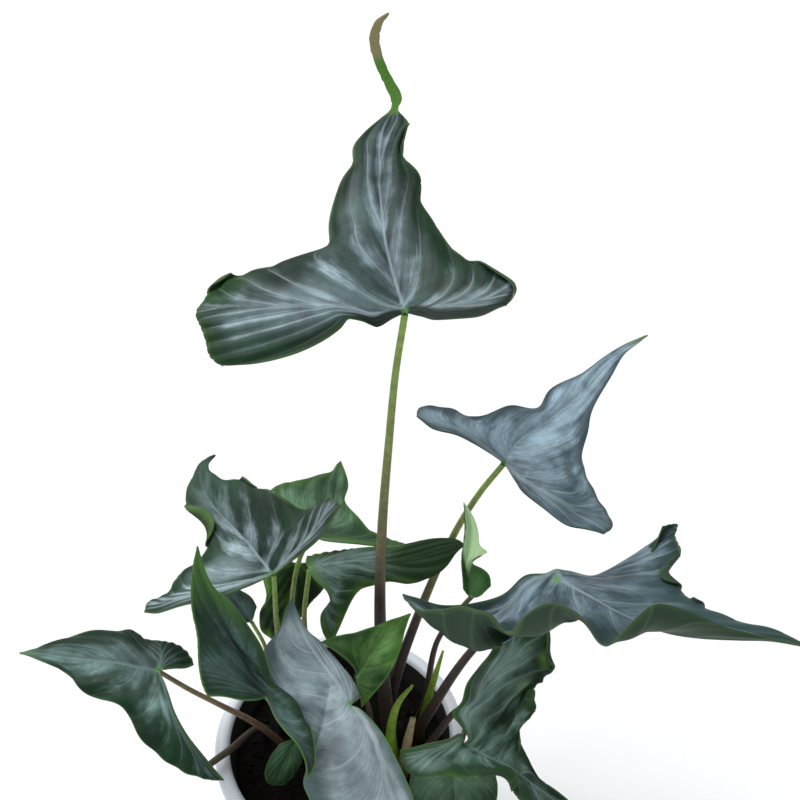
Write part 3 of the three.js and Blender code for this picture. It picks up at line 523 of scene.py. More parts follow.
def grow_blade(
    name, leaf, skins, rows=110, across=36, veins=7, lobe_veins=4, bend=0.25, curve=1.4,
    lobe_curve=0.7, quilting=0.7, folds=((), ()), ruffles=((), ()),
):
    """Makes a leaf's blade from its drawing, with its side veins, puffed fields, ruffles and folds.

    rows and across say how fine the grid is, veins and lobe_veins how many side veins a half and a lobe
    have, bend, curve and lobe_curve how these swing out to the margin, and quilting how high the fields
    between them puff up. Each side has its folds, given as (from, to, width, degrees), and its ruffles,
    as (at, width, height). Their places are counted in points of the front margin, and the rest is in
    millimetres.
    """
    tail = leaf.get("tail", 0)
    share = np.concatenate([np.linspace(0, 1, rows + 1), np.ones(tail * TAIL_STEPS)])
    tail_step = np.concatenate([np.zeros(rows + 1), np.arange(1, tail * TAIL_STEPS + 1) / TAIL_STEPS])
    reach = np.linspace(0, 1, across + 1)
    halves = []
    reaches = []
    sides = zip(("left", "right"), (1, -1), leaf["dome"], folds, ruffles)
    for side, facing, dome, side_folds, side_ruffles in sides:
        half = blade_half(leaf, side, facing, dome, share, tail_step, reach)
        half_reach = reach
        edge_place = (len(leaf[f"{side}_front"]) - tail) * share + tail_step
        if side_ruffles:
            out_of_blade = grid_normals(half) * -facing
            lift = sum(
                height * np.exp(-((edge_place - centre) / width) ** 2)
                for centre, width, height in side_ruffles
            )
            half = half + out_of_blade * (lift[:, None] * reach ** 2 * (1.35 - 0.35 * reach))[..., None]
        if side_folds:
            half = folded_margin(half, facing, edge_place, side_folds)
            # In a flap, reach counts on from one in hundredths
            half_reach = np.concatenate([reach, 1 + np.arange(1, half.shape[1] - across) / 100])
        halves.append(half)
        reaches.append(half_reach)
    points = np.concatenate([halves[0][:, :0:-1], halves[1]], axis=1)
    signed = np.concatenate([-reaches[0][:0:-1], reaches[1]])
    out = np.minimum(np.abs(signed), 1)
    middle = halves[0].shape[1] - 1

    # The midrib and a rib into each lobe carry side veins, which leave gently and bend to the margin.
    # Pace counts the side veins: it is a whole number on each of them.
    row_share = (share + tail_step)[:, None]
    left_lobe, right_lobe = (lobe_tip_share(leaf, side) for side in ("left", "right"))
    lobe_share = np.where(signed < 0, left_lobe, right_lobe) * np.sqrt(out)
    past_lobe = row_share - lobe_share
    from_midrib = past_lobe - bend * out ** curve
    branch = np.where(past_lobe > 0, past_lobe / bend, -past_lobe / (LOBE_BEND * bend))
    from_lobe_rib = out - out ** max(1 - curve * lobe_curve, 0) * branch ** lobe_curve
    pace = np.where((from_midrib > 0) & (past_lobe > 0), veins * from_midrib, -lobe_veins * from_lobe_rib)
    # The side veins of the two halves leave the midrib at different places
    pace = pace + SIDE_SHIFT * (signed < 0)
    row_step = np.linalg.norm(np.gradient(points, axis=0), axis=2)
    column_step = np.linalg.norm(np.gradient(points, axis=1), axis=2)
    steepness = np.hypot(
        np.gradient(pace, axis=0) / np.maximum(row_step, LEAST_STEP),
        np.gradient(pace, axis=1) / np.maximum(column_step, LEAST_STEP),
    )
    step_length = 1 / np.maximum(steepness, LEAST_STEEPNESS)

    # Distances along the blade, in millimetres
    row_ends = np.cumsum((row_step[1:] + row_step[:-1]) / 2, axis=0)
    down_rows = np.concatenate([np.zeros((1, len(signed))), row_ends])
    lobe_row = np.searchsorted(share[:rows], lobe_share)
    to_lobe_rib = np.abs(down_rows - down_rows[lobe_row, np.arange(len(signed))])
    rib_line = points[:, middle:middle + 1]
    to_rib = np.minimum(np.linalg.norm(points - rib_line, axis=2), to_lobe_rib)
    side_steps = np.linalg.norm(np.diff(points, axis=1), axis=2)
    to_left = np.concatenate([np.zeros((len(share), 1)), np.cumsum(side_steps, axis=1)], axis=1)
    to_margin = np.where(signed < 0, to_left, to_left[:, -1:] - to_left)
    to_edge = np.minimum(to_margin, down_rows)

    to_joint = np.linalg.norm(points, axis=2)
    # The fields between side veins puff up, but not by the ribs or the joint, and the ribs stand proud
    by_rib = np.clip(to_rib / CALM_BY_RIB, 0, 1)
    by_joint = np.clip(to_joint / CALM_BY_JOINT, 0, 1)
    fade = by_rib * by_joint * (np.abs(signed) <= 1)
    hollow = np.cos(2 * math.pi * pace) * np.clip(step_length / FULL_SPACING, 0, 1) * fade
    puff = -quilting * hollow * (0.45 + 0.55 * out)
    rib_rise = RIB_RISE * np.exp(-(to_rib / RIB_WIDTH) ** 2) * np.clip(to_joint / RIB_START, 0, 1)
    rib_rise = rib_rise * (1 - 0.7 * out)
    normals = grid_normals(points)
    points = points + normals * (puff + rib_rise)[..., None]
    place = lifted(points, leaf["joint"])
    blade, row, column = shaped_grid(f"leaf_{name}", points.shape[1] - 1, len(share) - 1, place)
    spacing = np.minimum(step_length, WIDEST_SPACING)
    keep_with(blade, "veins", np.stack([to_rib, to_edge, spacing], -1)[row, column])
    growth = np.stack(np.broadcast_arrays(signed, row_share, pace), -1)
    keep_with(blade, "growth", growth[row, column])
    keep_with(blade, "joint", np.repeat(to_joint[..., None], 3, axis=2)[row, column])

    bpy.ops.object.mode_set(mode="EDIT")
    bpy.ops.mesh.select_all(action="SELECT")
    bpy.ops.mesh.remove_doubles(threshold=MERGE_WITHIN * MM)
    bpy.ops.object.mode_set(mode="OBJECT")
    use_material(blade, *skins)
    sheet = blade.modifiers.new("sheet", "SOLIDIFY")
    sheet.thickness = BLADE_THICKNESS
    sheet.offset = 0
    sheet.material_offset = 1
    sheet.material_offset_rim = 2
    bpy.ops.object.modifier_apply(modifier="sheet")
    bpy.ops.object.shade_smooth_by_angle(angle=math.radians(60))
    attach(blade, "root")
    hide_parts(f"blade_{name}")


def stored(add, name):
    """The three numbers that keep_with stored under a name."""
    return add("SeparateXYZ", {0: add("Attribute", attribute_name=name).outputs["Vector"]}).outputs


MARGIN_GREEN = (0.10, 0.22, 0.05)
LIT_GREEN = (0.12, 0.27, 0.04)
TUCK_SHADE = (0.010, 0.020, 0.013)
JOINT_GREEN = (0.14, 0.33, 0.12)


def leaf_skin(
    name, bloom, green, pale, seed, bloom_reach=0.6, streaks=0.5, gaps=0.3, vein_strength=0.5, margin=0.3,
    halves=(1, 1), depth=0.3, lit=0.0, veiled=0.08, shade_and_light_spots=(), tip=(), tuck=0.0,
):
    """The upper face: bloom follows the ribs in feathery strokes, with green outside and between them.

    bloom_reach is how far the bloom gets from a rib, streaks how feathery it is, gaps how far it opens
    between the side veins, depth how patchy the tone is, and veiled how greyish the green under it is.
    A spot is painted shade or painted light at one place of this leaf: darker where a hollow lies in
    shade, lighter where a swelling catches the light, and lime where light comes through the margin;
    a few spots only deepen the leaf's own bloom or green. Its place and size are two numbers: the share
    along the blade, and the reach from the midrib, less than nought on the left. tip gives the colours
    that the blade fades to, from one share to another. halves dims the left and the right half. lit is
    how far light comes through the margin, and tuck is the reach up to which the left lobe's back margin
    lies in its own shade.
    """
    material, add, feed = new_material(name, roughness=0.5, specular=0.16)
    to_rib, to_edge, spacing = stored(add, "veins")
    reach, share, pace = stored(add, "growth")
    to_joint = stored(add, "joint")[0]
    place = add("TexCoord").outputs["Object"]

    def worked(operation, *values):
        return math_of(add, operation, *values)

    def product(first, second):
        return worked("MULTIPLY", first, second)

    def smooth_step(value, low, high, at_low=0.0, at_high=1.0):
        return ranged(add, value, at_low, at_high, low, high, kind="SMOOTHSTEP")

    def strokes(across_veins, along_veins, detail):
        fan = add("CombineXYZ", {0: product(pace, across_veins), 1: product(reach, along_veins), 2: seed})
        return noise(add, fan.outputs[0], 1, detail, Roughness=0.6)

    def patches_of(size, detail):
        shifted = add("VectorMath", {0: place, 1: (seed, seed, seed)}, operation="ADD").outputs[0]
        return noise(add, shifted, size, detail)

    def tinted(amount, colour, base):
        return mixed(add, amount, base, colour)

    def times(base, low, high, amount):
        return multiplied(add, base, worked("MULTIPLY_ADD", amount, high - low, low))

    broad = strokes(1.6, 1.6, 2)
    feathers = strokes(5.0, 4.0, 4)
    hairs = strokes(20.0, 9.0, 3)
    patches = patches_of(28, 3)
    blotches = patches_of(70, 4)
    mottle = patches_of(220, 3)

    # Nought on the ribs, one on the margin
    outwards = worked("DIVIDE", to_rib, worked("ADD", worked("ADD", to_rib, to_edge), 0.5))
    # Nought on a side vein, one half way to the next
    from_vein = worked("SUBTRACT", pace, worked("ROUND", pace))
    off_vein = product(worked("ABSOLUTE", from_vein), 2.0)
    to_vein = product(off_vein, product(spacing, 0.5))
    between = smooth_step(off_vein, 0.1, 1.0, 0.0, gaps)
    between = product(between, smooth_step(patches, 0.35, 0.6, 0.35, 1.0))
    spread = worked("ADD", outwards, between)
    swings = ((feathers, 1.2 * streaks), (broad, 1.4 * streaks), (patches, 0.6), (blotches, 0.8))
    for grain, swing in swings:
        spread = worked("ADD", spread, worked("MULTIPLY_ADD", grain, -swing, swing / 2))
    bloom_share = smooth_step(spread, bloom_reach - 0.4, bloom_reach + 0.3, 1.0, 0.0)
    bloom_share = product(bloom_share, smooth_step(hairs, 0.3, 0.7, 0.7, 1.0))
    bloom_share = product(bloom_share, smooth_step(to_edge, 0.0, 5.0, 0.15, 1.0))
    # Under the bloom the green is greyish, except near the margin
    veil = tuple((1 - veiled) * low + veiled * high for low, high in zip(green, bloom))
    veil_spread = worked("MULTIPLY_ADD", blotches, 0.6, outwards)
    veil_share = smooth_step(veil_spread, bloom_reach + 0.25, bloom_reach + 0.65, 1.0, 0.0)
    base = tinted(bloom_share, bloom, tinted(veil_share, veil, green))
    # Spots of painted shade and painted light, with a few of the leaf's own deeper tone
    for spot in shade_and_light_spots:
        off = worked("DIVIDE", worked("SUBTRACT", share, spot["at"][0]), spot["size"][0])
        aside = worked("DIVIDE", worked("SUBTRACT", reach, spot["at"][1]), spot["size"][1])
        apart = worked("SQRT", worked("MULTIPLY_ADD", off, off, product(aside, aside)))
        apart = worked("MULTIPLY_ADD", blotches, 1.2, worked("MULTIPLY_ADD", feathers, 0.6, apart))
        base = tinted(smooth_step(apart, 1.1, 2.1, spot["strength"], 0.0), spot["colour"], base)
    # The tone changes in patches, down to the finest mottling
    base = times(base, 1 - depth, 1 + depth, smooth_step(patches, 0.3, 0.7))
    base = times(base, 1 - depth / 2, 1 + depth / 2, smooth_step(blotches, 0.35, 0.65))
    base = times(base, 0.95 - 0.12 * streaks, 1.05 + 0.12 * streaks, smooth_step(feathers, 0.3, 0.7))
    base = times(base, 0.95 - 0.1 * streaks, 1.05 + 0.1 * streaks, smooth_step(hairs, 0.3, 0.7))
    base = times(base, 0.94, 1.06, smooth_step(mottle, 0.3, 0.7))
    base = times(base, *halves, smooth_step(reach, -0.04, 0.04))

    # Ribs and side veins are pale, and each has a soft pale halo
    rib_width = worked("MAXIMUM", worked("MULTIPLY_ADD", share, -0.9, 1.4), 0.35)
    rib = smooth_step(worked("DIVIDE", to_rib, rib_width), 0.4, 1.4, 1.0, 0.0)
    rib = product(rib, smooth_step(worked("ABSOLUTE", reach), 0.2, 0.9, 1.0, 0.2))
    side = smooth_step(to_vein, 0.1, 0.8, 1.0, 0.0)
    side = product(side, smooth_step(outwards, 0.05, 0.9, 0.9, 0.1))
    halo = product(smooth_step(to_vein, 0.2, 2.6, 0.4, 0.0), smooth_step(outwards, 0.2, 0.9, 1.0, 0.1))
    halo = product(halo, smooth_step(blotches, 0.35, 0.6))
    pale_share = worked("MAXIMUM", worked("MAXIMUM", rib, side), halo)
    base = tinted(product(pale_share, vein_strength), pale, base)
    # Beside the rib lies the shade of its own groove
    groove = worked("SUBTRACT", smooth_step(to_rib, 1.2, 4.5, 1.0, 0.0), rib)
    groove = product(groove, smooth_step(to_joint, 4.0, 14.0))
    base = times(base, 1.0, 0.78, worked("MAXIMUM", groove, 0.0))
    base = tinted(smooth_step(to_edge, 0.3, 1.6, margin, 0.0), MARGIN_GREEN, base)
    if lit:
        # Light comes through the thin margin in places
        glowing = product(smooth_step(to_edge, 0.5, 8.0, lit, 0.0), smooth_step(patches, 0.42, 0.58))
        base = tinted(glowing, LIT_GREEN, base)
    for first, last, colour in tip:
        base = tinted(smooth_step(share, first, last), colour, base)
    if tuck:
        under = product(smooth_step(reach, -tuck, 0.15 - tuck), smooth_step(to_edge, 3.5, 7.0, 0.95, 0.0))
        below_rib = smooth_step(share, 0.1, 0.14, 1.0, 0.0)
        base = tinted(product(under, below_rib), TUCK_SHADE, base)
    base = tinted(smooth_step(to_joint, 1.2, 3.4, 0.8, 0.0), JOINT_GREEN, base)
    feed("Base Color", base)
    feed("Roughness", smooth_step(hairs, 0.2, 0.8, 0.42, 0.58))
    relief = worked("ADD", product(side, -1.0), product(worked("ADD", hairs, feathers), 0.5))
    feed("Normal", bump(add, relief, strength=0.5, distance=0.0006))
    return material


def leaf_back(name, green, pale, glow=0.7):
    """The lower face: plain dull green with raised veins, lit through here and there along the edge."""
    material, add, feed = new_material(name, roughness=0.55, specular=0.15)
    lit = (0.12, 0.24, 0.06)
    to_rib, to_edge, spacing = stored(add, "veins")
    pace = stored(add, "growth")[2]
    off_vein = math_of(add, "PINGPONG", math_of(add, "PINGPONG", pace, 1), 0.5)
    to_vein = math_of(add, "MULTIPLY", off_vein, spacing)
    place = add("TexCoord").outputs["Object"]
    mottle = noise(add, place, scale=90, detail=5)
    patches = noise(add, place, scale=30, detail=2)
    sunny = noise(add, place, scale=22, detail=3)
    near_vein = ranged(add, to_vein, 0.35, 0, low=0.2, high=1.1)
    near_rib = ranged(add, to_rib, 0.6, 0, low=0.8, high=2)
    vein = math_of(add, "MAXIMUM", near_vein, near_rib)
    edge_wide = ranged(add, patches, 0.5, 4.5, low=0.38, high=0.62)
    near_edge = math_of(add, "DIVIDE", to_edge, edge_wide)
    shine = ranged(add, near_edge, glow, 0, low=0.2, high=1.3, kind="SMOOTHSTEP")
    lit_share = ranged(add, sunny, 0.15, 1, low=0.38, high=0.62, kind="SMOOTHSTEP")
    shine = math_of(add, "MULTIPLY", shine, lit_share)
    darker = [channel * 0.55 for channel in green]
    field = mixed(add, mottle, darker, green)
    field = mixed(add, vein, field, pale)
    feed("Base Color", mixed(add, shine, field, lit))
    feed("Roughness", ranged(add, mottle, 0.45, 0.65))
    feed("Normal", bump(add, vein, strength=0.5, distance=0.0008))
    return material


def leaf_rim(name, colour):
    """The thin edge between the two faces."""
    material, add, feed = new_material(name, roughness=0.5, specular=0.4)
    place = add("TexCoord").outputs["Object"]
    darker = [channel * 0.6 for channel in colour]
    feed("Base Color", mixed(add, noise(add, place, scale=120, detail=3), darker, colour))
    return material


ROUTE_STEPS = 24
LEAST_RINGS = 24
RING_STEP = 2.5
# Where the groove of a stalk lies round it, in radians, and how narrow it is
GROOVE_TURN = 2
GROOVE_NARROWNESS = 8


def between_times(low, high, early, late, time):
    return low + (high - low) * (time - early) / (late - early)


def stalk_route(route):
    """Evenly spaced points along a rounded route, the first of them deep in the soil."""
    knots = np.asarray(route, float)
    padded = np.vstack([2 * knots[0] - knots[1], knots, 2 * knots[-1] - knots[-2]])
    line = []
    for before, start, end, after in zip(padded, padded[1:], padded[2:], padded[3:]):
        pairs = ((before, start), (start, end), (end, after))
        times = np.cumsum([0, *[max(math.sqrt(math.dist(low, high)), 1e-3) for low, high in pairs]])
        for time in np.linspace(times[1], times[2], ROUTE_STEPS, endpoint=False):
            first = [
                between_times(low, high, early, late, time)
                for (low, high), early, late in zip(pairs, times, times[1:])
            ]
            second = [
                between_times(low, high, early, late, time)
                for low, high, early, late in zip(first, first[1:], times, times[2:])
            ]
            line.append(between_times(*second, times[1], times[2], time))
    line.append(knots[-1])
    line = np.array(line)
    distance = np.concatenate([[0], np.cumsum(np.linalg.norm(np.diff(line, axis=0), axis=1))])
    steps = max(LEAST_RINGS, int(distance[-1] / RING_STEP))
    even = np.linspace(0, distance[-1], steps + 1)
    return np.stack([np.interp(even, distance, line[:, axis]) for axis in range(3)], -1)


def grow_bar(name, route, node, material, radii, sides=20, flat=1.0, groove=0.0):
    """A living round bar along a route, closed at both ends; a grid is rolled round the route."""
    line = stalk_route(route)
    share = np.linspace(0, 1, len(line))
    tangents = np.gradient(line, axis=0)
    tangents /= np.linalg.norm(tangents, axis=1, keepdims=True)
    outward = np.array([1.0, 0, 0])
    rings = []
    radius_at = np.interp(share, np.linspace(0, 1, len(radii)), radii)
    turns = np.linspace(0, 2 * math.pi, sides + 1)
    for centre, tangent, radius in zip(line, tangents, radius_at):
        outward = outward - tangent * np.dot(outward, tangent)
        outward /= np.linalg.norm(outward)
        sideways = np.cross(tangent, outward)
        width = radius * (1 - groove * np.cos(turns + GROOVE_TURN) ** GROOVE_NARROWNESS)
        ring = centre + outward * (np.cos(turns) * width)[:, None]
        rings.append(ring + sideways * (np.sin(turns) * width * flat)[:, None])
    bar, row, column = shaped_grid(name, sides, len(line) - 1, np.array(rings) * MM)
    around = 2 * math.pi * (column / sides)
    keep_with(bar, "fibre", np.stack([np.cos(around), np.sin(around), share[row]], -1))
    bpy.ops.object.mode_set(mode="EDIT")
    bpy.ops.mesh.select_all(action="SELECT")
    bpy.ops.mesh.remove_doubles(threshold=0.001 * MM)
    bpy.ops.mesh.select_all(action="SELECT")
    bpy.ops.mesh.fill_holes(sides=0)
    bpy.ops.mesh.normals_make_consistent(inside=False)
    bpy.ops.object.mode_set(mode="OBJECT")
    bpy.ops.object.shade_smooth_by_angle(angle=math.radians(60))
    use_material(bar, material)
    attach(bar, "root")
    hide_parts(node)


def stalk_skin(name, foot, middle, neck, dark_to=0.0):
    """Fine lengthwise fibres and mottling, over a colour that changes from foot to neck."""
    material, add, feed = new_material(name, roughness=0.5, specular=0.4)
    fibre = stored(add, "fibre")
    climb = add("ValToRGB", {"Fac": fibre[2]})
    climb.color_ramp.elements[0].color = (*foot, 1)
    climb.color_ramp.elements[0].position = dark_to
    climb.color_ramp.elements[1].color = (*neck, 1)
    climb.color_ramp.elements.new(0.6).color = (*middle, 1)
    along = math_of(add, "MULTIPLY", fibre[2], 1.5)
    stretched = add("CombineXYZ", {0: fibre[0], 1: fibre[1], 2: along}).outputs[0]
    lines = noise(add, stretched, scale=5, detail=5, Roughness=0.7)
    mottle = noise(add, add("TexCoord").outputs["Object"], scale=300, detail=3)
    tone = math_of(add, "MULTIPLY", lines, mottle)
    level = ranged(add, tone, 0.6, 1.25, low=0.12, high=0.4)
    feed("Base Color", multiplied(add, climb.outputs["Color"], level))
    feed("Roughness", ranged(add, lines, 0.4, 0.6))
    feed("Normal", bump(add, lines, strength=0.3, distance=0.0004))
    return material


def blade_normal(leaf):
    """Which way the upper face looks at the joint."""
    share = np.linspace(0, 0.1, 5)
    reach = np.linspace(0, 0.3, 5)
    still = np.zeros(5)
    left = blade_half(leaf, "left", 1, leaf["dome"][0], share, still, reach)
    right = blade_half(leaf, "right", -1, leaf["dome"][1], share, still, reach)
    normals = grid_normals(lifted(np.concatenate([left[:, :0:-1], right], axis=1), leaf["joint"]))
    normal = normals[:, 3:6].reshape(-1, 3).mean(axis=0)
    return normal / np.linalg.norm(normal)


STALK_DEPTH = 13
STALK_TAPER = 1.4
TAPER_STEPS = 24
STALK_GROOVE = 0.12
JOINT_GAP = 0.3
NECK_CLEARANCE = 0.75


def grow_stalk(name, leaf, material, foot, neck, clear=0.0):
    """A leaf's stalk, from its hole in the soil to the underside of the blade."""
    hole, *route = leaf["stalk"]
    soil_top = SOIL_LEVEL / MM
    normal = blade_normal(leaf)
    joint = np.array(leaf["joint"], float)
    arrives = joint - np.array(route[-1])
    slant = math.sqrt(max(1 - (np.dot(arrives, normal) / np.linalg.norm(arrives)) ** 2, 0))
    end = joint - normal * (JOINT_GAP + NECK_CLEARANCE * neck * slant + clear)
    whole = [(*hole, soil_top - STALK_DEPTH), (*hole, soil_top), *route, tuple(end)]
    shares = np.linspace(0, 1, TAPER_STEPS)
    radii = [neck + (foot - neck) * (1 - share) ** STALK_TAPER for share in shares]
    grow_bar(f"petiole_{name}", whole, f"stalk_{name}", material, radii, groove=STALK_GROOVE)


leaf_edge = leaf_rim("leaf_edge", colour=(0.065, 0.13, 0.045))
green_back = leaf_back("green_back", green=(0.03, 0.07, 0.026), pale=(0.06, 0.12, 0.05))
olive_stalk = stalk_skin(
    "olive_stalk", foot=(0.036, 0.02, 0.016), middle=(0.18, 0.155, 0.068), neck=(0.29, 0.46, 0.09),
    dark_to=0.44,
)
brown_stalk = stalk_skin(
    "brown_stalk", foot=(0.036, 0.024, 0.019), middle=(0.06, 0.038, 0.028), neck=(0.1, 0.085, 0.045),
)
tan_stalk = stalk_skin(
    "tan_stalk", foot=(0.11, 0.065, 0.04), middle=(0.24, 0.155, 0.095), neck=(0.25, 0.21, 0.11),
)

# A blade is drawn in millimetres from its joint, on an easel that leans back: to the right, up, and
# towards the viewer. rib runs from the joint to the tip. On each side, back is the margin from the
# joint to the lobe and front the margin from the lobe to the tip, where the last points, as many as
# tail says, run on along the drip tip. dome and belly say how far the two halves swell. stalk is the
# way that the stalk takes to the joint, in the plant's own millimetres: its hole in the soil comes first.
top_leaf = dict(
    joint=(38, 0, 417),
    rib=[
        (-2, 7, -3), (-7, 26, -12), (-10, 47, -25), (-11, 67, -38), (-9, 86, -50), (-4.5, 102, -58),
        (-4.5, 111, -60), (-10, 123, -60), (-14.5, 136, -58), (-12.5, 144, -56), (-7, 148, -54),
    ],
    tail=5,
    left_back=[
        (-5.5, -3.5, 4), (-12, -8, 5), (-17.5, -6.5, 6), (-23.5, -6, 8), (-27, -10.5, 12),
        (-33.5, -15.5, 16), (-42, -19.5, 19), (-51.5, -22, 22), (-61, -23, 24),
    ],
    left_front=[
        (-69.5, -22.5, 25), (-74.5, -19, 25), (-76, -13, 24), (-79, -6, 22), (-81, -1, 20), (-76, 9, 8),
        (-71, 14, 2), (-58, 19, -6), (-44, 24, -10), (-32, 30, -16), (-33.5, 42, -24), (-28.5, 63, -34),
        (-23, 72, -40), (-24, 82, -46), (-17, 92, -52), (-6.5, 103, -58), (-7, 111, -60),
        (-12.5, 123, -60), (-16.5, 135.5, -58), (-14, 144, -56),
    ],
    right_back=[(7, -4, 5), (14, -6.5, 8), (28, -5, 12)],
    right_front=[
        (39.5, 1.5, 14), (44, 8.5, 8), (39, 14, 2), (29.5, 21, -4), (21, 27, -12), (13, 42, -24),
        (7, 51, -28), (7.5, 60, -34), (6, 68, -38), (-2.5, 79, -44), (0, 91, -50), (2, 96, -54),
        (-3, 103, -58), (-1.5, 111, -60), (-8, 123, -60), (-12, 135.5, -58), (-10.5, 143, -56),
    ],
    dome=(0.1, 0.1),
    stalk=[(31, -3), (27, 5, 160), (25, 10, 218), (27, 6, 290), (31, 0, 351), (34, 0, 387)],
)
top_skin = leaf_skin(
    "top_skin", bloom=(0.29, 0.39, 0.445), green=(0.01, 0.036, 0.016), pale=(0.42, 0.52, 0.54), seed=1,
    bloom_reach=0.41, streaks=0.65, gaps=0.6, halves=(1, 0.8), depth=0.45, veiled=0.2,
    shade_and_light_spots=[
        dict(at=(0.2, -0.45), size=(0.12, 0.35), strength=0.4, colour=(0.26, 0.34, 0.39)),
        dict(at=(0.36, -0.75), size=(0.1, 0.3), strength=0.6, colour=(0.012, 0.036, 0.017)),
        dict(at=(0.22, 0.62), size=(0.13, 0.42), strength=0.8, colour=(0.012, 0.037, 0.018)),
        dict(at=(0.68, -0.6), size=(0.12, 0.25), strength=0.35, colour=(0.2, 0.27, 0.3)),
        dict(at=(0.11, -0.82), size=(0.06, 0.2), strength=0.6, colour=(0.03, 0.058, 0.045)),
        dict(at=(0.36, -0.93), size=(0.14, 0.18), strength=0.9, colour=(0.014, 0.06, 0.012)),
        dict(at=(0.12, -0.99), size=(0.1, 0.06), strength=0.7, colour=(0.03, 0.085, 0.03)),
        dict(at=(0.8, 0.55), size=(0.14, 0.35), strength=0.6, colour=(0.012, 0.04, 0.016)),
    ],
    tip=((0.97, 1, (0.09, 0.24, 0.03)), (3.2, 3.6, (0.29, 0.26, 0.13))), tuck=0.42,
)
grow_blade(
    "top", top_leaf, (top_skin, green_back, leaf_edge), rows=170, across=44, veins=5,
    bend=0.28, quilting=0.5,
    folds=(((4.7, 6.3, 5.5, 190),), ((0.2, 3.3, 4.5, 150), (8.8, 10.7, 4, 190))),
)
grow_stalk("top", top_leaf, olive_stalk, foot=5, neck=1.5)

# The second tallest leaf stands on the right, its tip up and one lobe turned down towards the viewer.
# Its silvery bloom is even, so veins and margin stand out little. Its stalk leans out to the right.
right_high_leaf = dict(
    joint=(88, 25, 317),
    rib=[(8, 11, -6), (25, 22, -14), (44, 36, -24), (56, 50, -32), (71, 60, -38), (85, 68, -44)],
    left_back=[(-9, 4, 4), (-18, 8.5, 8), (-27, 13, 12), (-38, 17, 16)],
    left_front=[
        (-44, 24, 14), (-42, 29, 10), (-27, 28, 4), (-16.5, 23, 0), (-5, 26, -2), (5, 30, -5),
        (19, 27, -10), (24, 36, -16), (34, 42, -22), (46, 46, -28), (56.5, 54.5, -33), (71, 62.5, -39),
    ],
    right_back=[(4, -10, 6), (7, -16.5, 9), (16, -24, 14), (26, -31, 18), (36, -31.5, 20)],
    right_front=[
        (45.5, -32.5, 18), (52, -29, 13), (47, -19, 6), (42, -7, -2), (41, 3, -10), (46, 16, -18),
        (50, 28, -24), (62.5, 46.5, -32), (71, 58, -38), (80, 64.5, -42),
    ],
    dome=(0.1, 0.1),
    stalk=[(31, 9.5), (31, 11, 150), (46, 21, 208), (65, 34, 258), (77, 31, 291)],
)
right_high_skin = leaf_skin(
    "right_high_skin", bloom=(0.34, 0.47, 0.56), green=(0.04, 0.07, 0.078), pale=(0.42, 0.52, 0.54),
    seed=2, bloom_reach=0.75, streaks=0.6, gaps=0.25, margin=0.1, veiled=0.2,
    shade_and_light_spots=[
        dict(at=(0.1, 0.75), size=(0.18, 0.55), strength=0.8, colour=(0.062, 0.1, 0.122)),
        dict(at=(0.34, 0.2), size=(0.16, 0.25), strength=0.35, colour=(0.44, 0.6, 0.7)),
        dict(at=(0.66, 0.4), size=(0.12, 0.4), strength=0.35, colour=(0.2, 0.28, 0.33)),
    ],
    tip=((0.86, 0.98, (0.2, 0.27, 0.13)),),
)
grow_blade(
    "right_high", right_high_leaf, (right_high_skin, green_back, leaf_edge), veins=5,
    bend=0.3, quilting=0.4,
)
grow_stalk("right_high", right_high_leaf, olive_stalk, foot=4.3, neck=1.5)

# The long wavy leaf on the right is seen nearly from its edge: the near margin stands up in waves, with
# hollows between them, and the far lobe turns up in a hook. A brown stalk carries it well to the right.
right_leaf = dict(
    joint=(109, -29, 292),
    notch=(1, 3.5, -4),
    rib=[
        (3, -1, 0), (14, -7, 8), (26, -13, 14), (37, -17, 17), (47.5, -21, 18), (63.5, -23.5, 17),
        (80, -25, 14), (98, -26.5, 10), (117, -31, 5),
    ],
    left_back=[(7, 1, -8), (18, -4, -10), (29, -2, -16), (44, 5, -24), (56, 12.5, -32)],
    left_front=[
        (61, 19, -37), (70, 20, -40), (66, 14, -36), (68, 7, -28), (56, -1, -18), (60, -6, -10),
        (64, -11.5, -4), (72, -14.5, 1), (84, -19, 5), (99.5, -22, 6),
    ],
    left_belly=[-0.2, -0.2, -0.18, -0.12, -0.06, 0, 0.05, 0.05, 0.05, 0.05, 0.05],
    right_back=[
        (-4, 2, -6), (-14, 2.5, -7), (-25, -3.5, -3), (-40, -5.5, 0), (-54, -5.5, 2), (-65, -4, 2),
    ],
    right_front=[
        (-72, -6, 6), (-67, -9.5, 16), (-59.5, -9.5, 22), (-46, -6, 28), (-34, -9, 30),
        (-26, -17.5, 30), (-20, -8, 36), (-10, -1, 40), (1, -6, 38), (8, -14.5, 34), (15, -22.5, 32),
        (22, -15, 36), (31, -4, 38), (39, -3, 36), (53, -8, 31), (67, -15, 25), (83, -20, 19),
        (102, -26, 11),
    ],
    right_belly=[
        -0.1, -0.25, -0.35, -0.4, -0.35, -0.2, -0.2, -0.2, -0.15, -0.1, -0.05, -0.1, -0.15, -0.15, -0.1,
        -0.1, -0.1, -0.1, -0.1,
    ],
    dome=(0.05, -0.1),
    stalk=[(42, 1), (57, -5, 167), (74, -10, 216), (95, -20, 262)],
)
right_skin = leaf_skin(
    "right_skin", bloom=(0.22, 0.31, 0.38), green=(0.022, 0.046, 0.042), pale=(0.42, 0.52, 0.54),
    seed=3, bloom_reach=0.55, streaks=0.6,
    shade_and_light_spots=[dict(at=(0.39, -0.55), size=(0.18, 0.45), strength=0.6, colour=(0.068, 0.115, 0.135))],
    tip=((0.3, 0.75, (0.048, 0.088, 0.092)), (0.85, 1, (0.05, 0.1, 0.065))),
)
right_back = leaf_back("right_back", green=(0.04, 0.078, 0.046), pale=(0.08, 0.15, 0.08), glow=0.4)
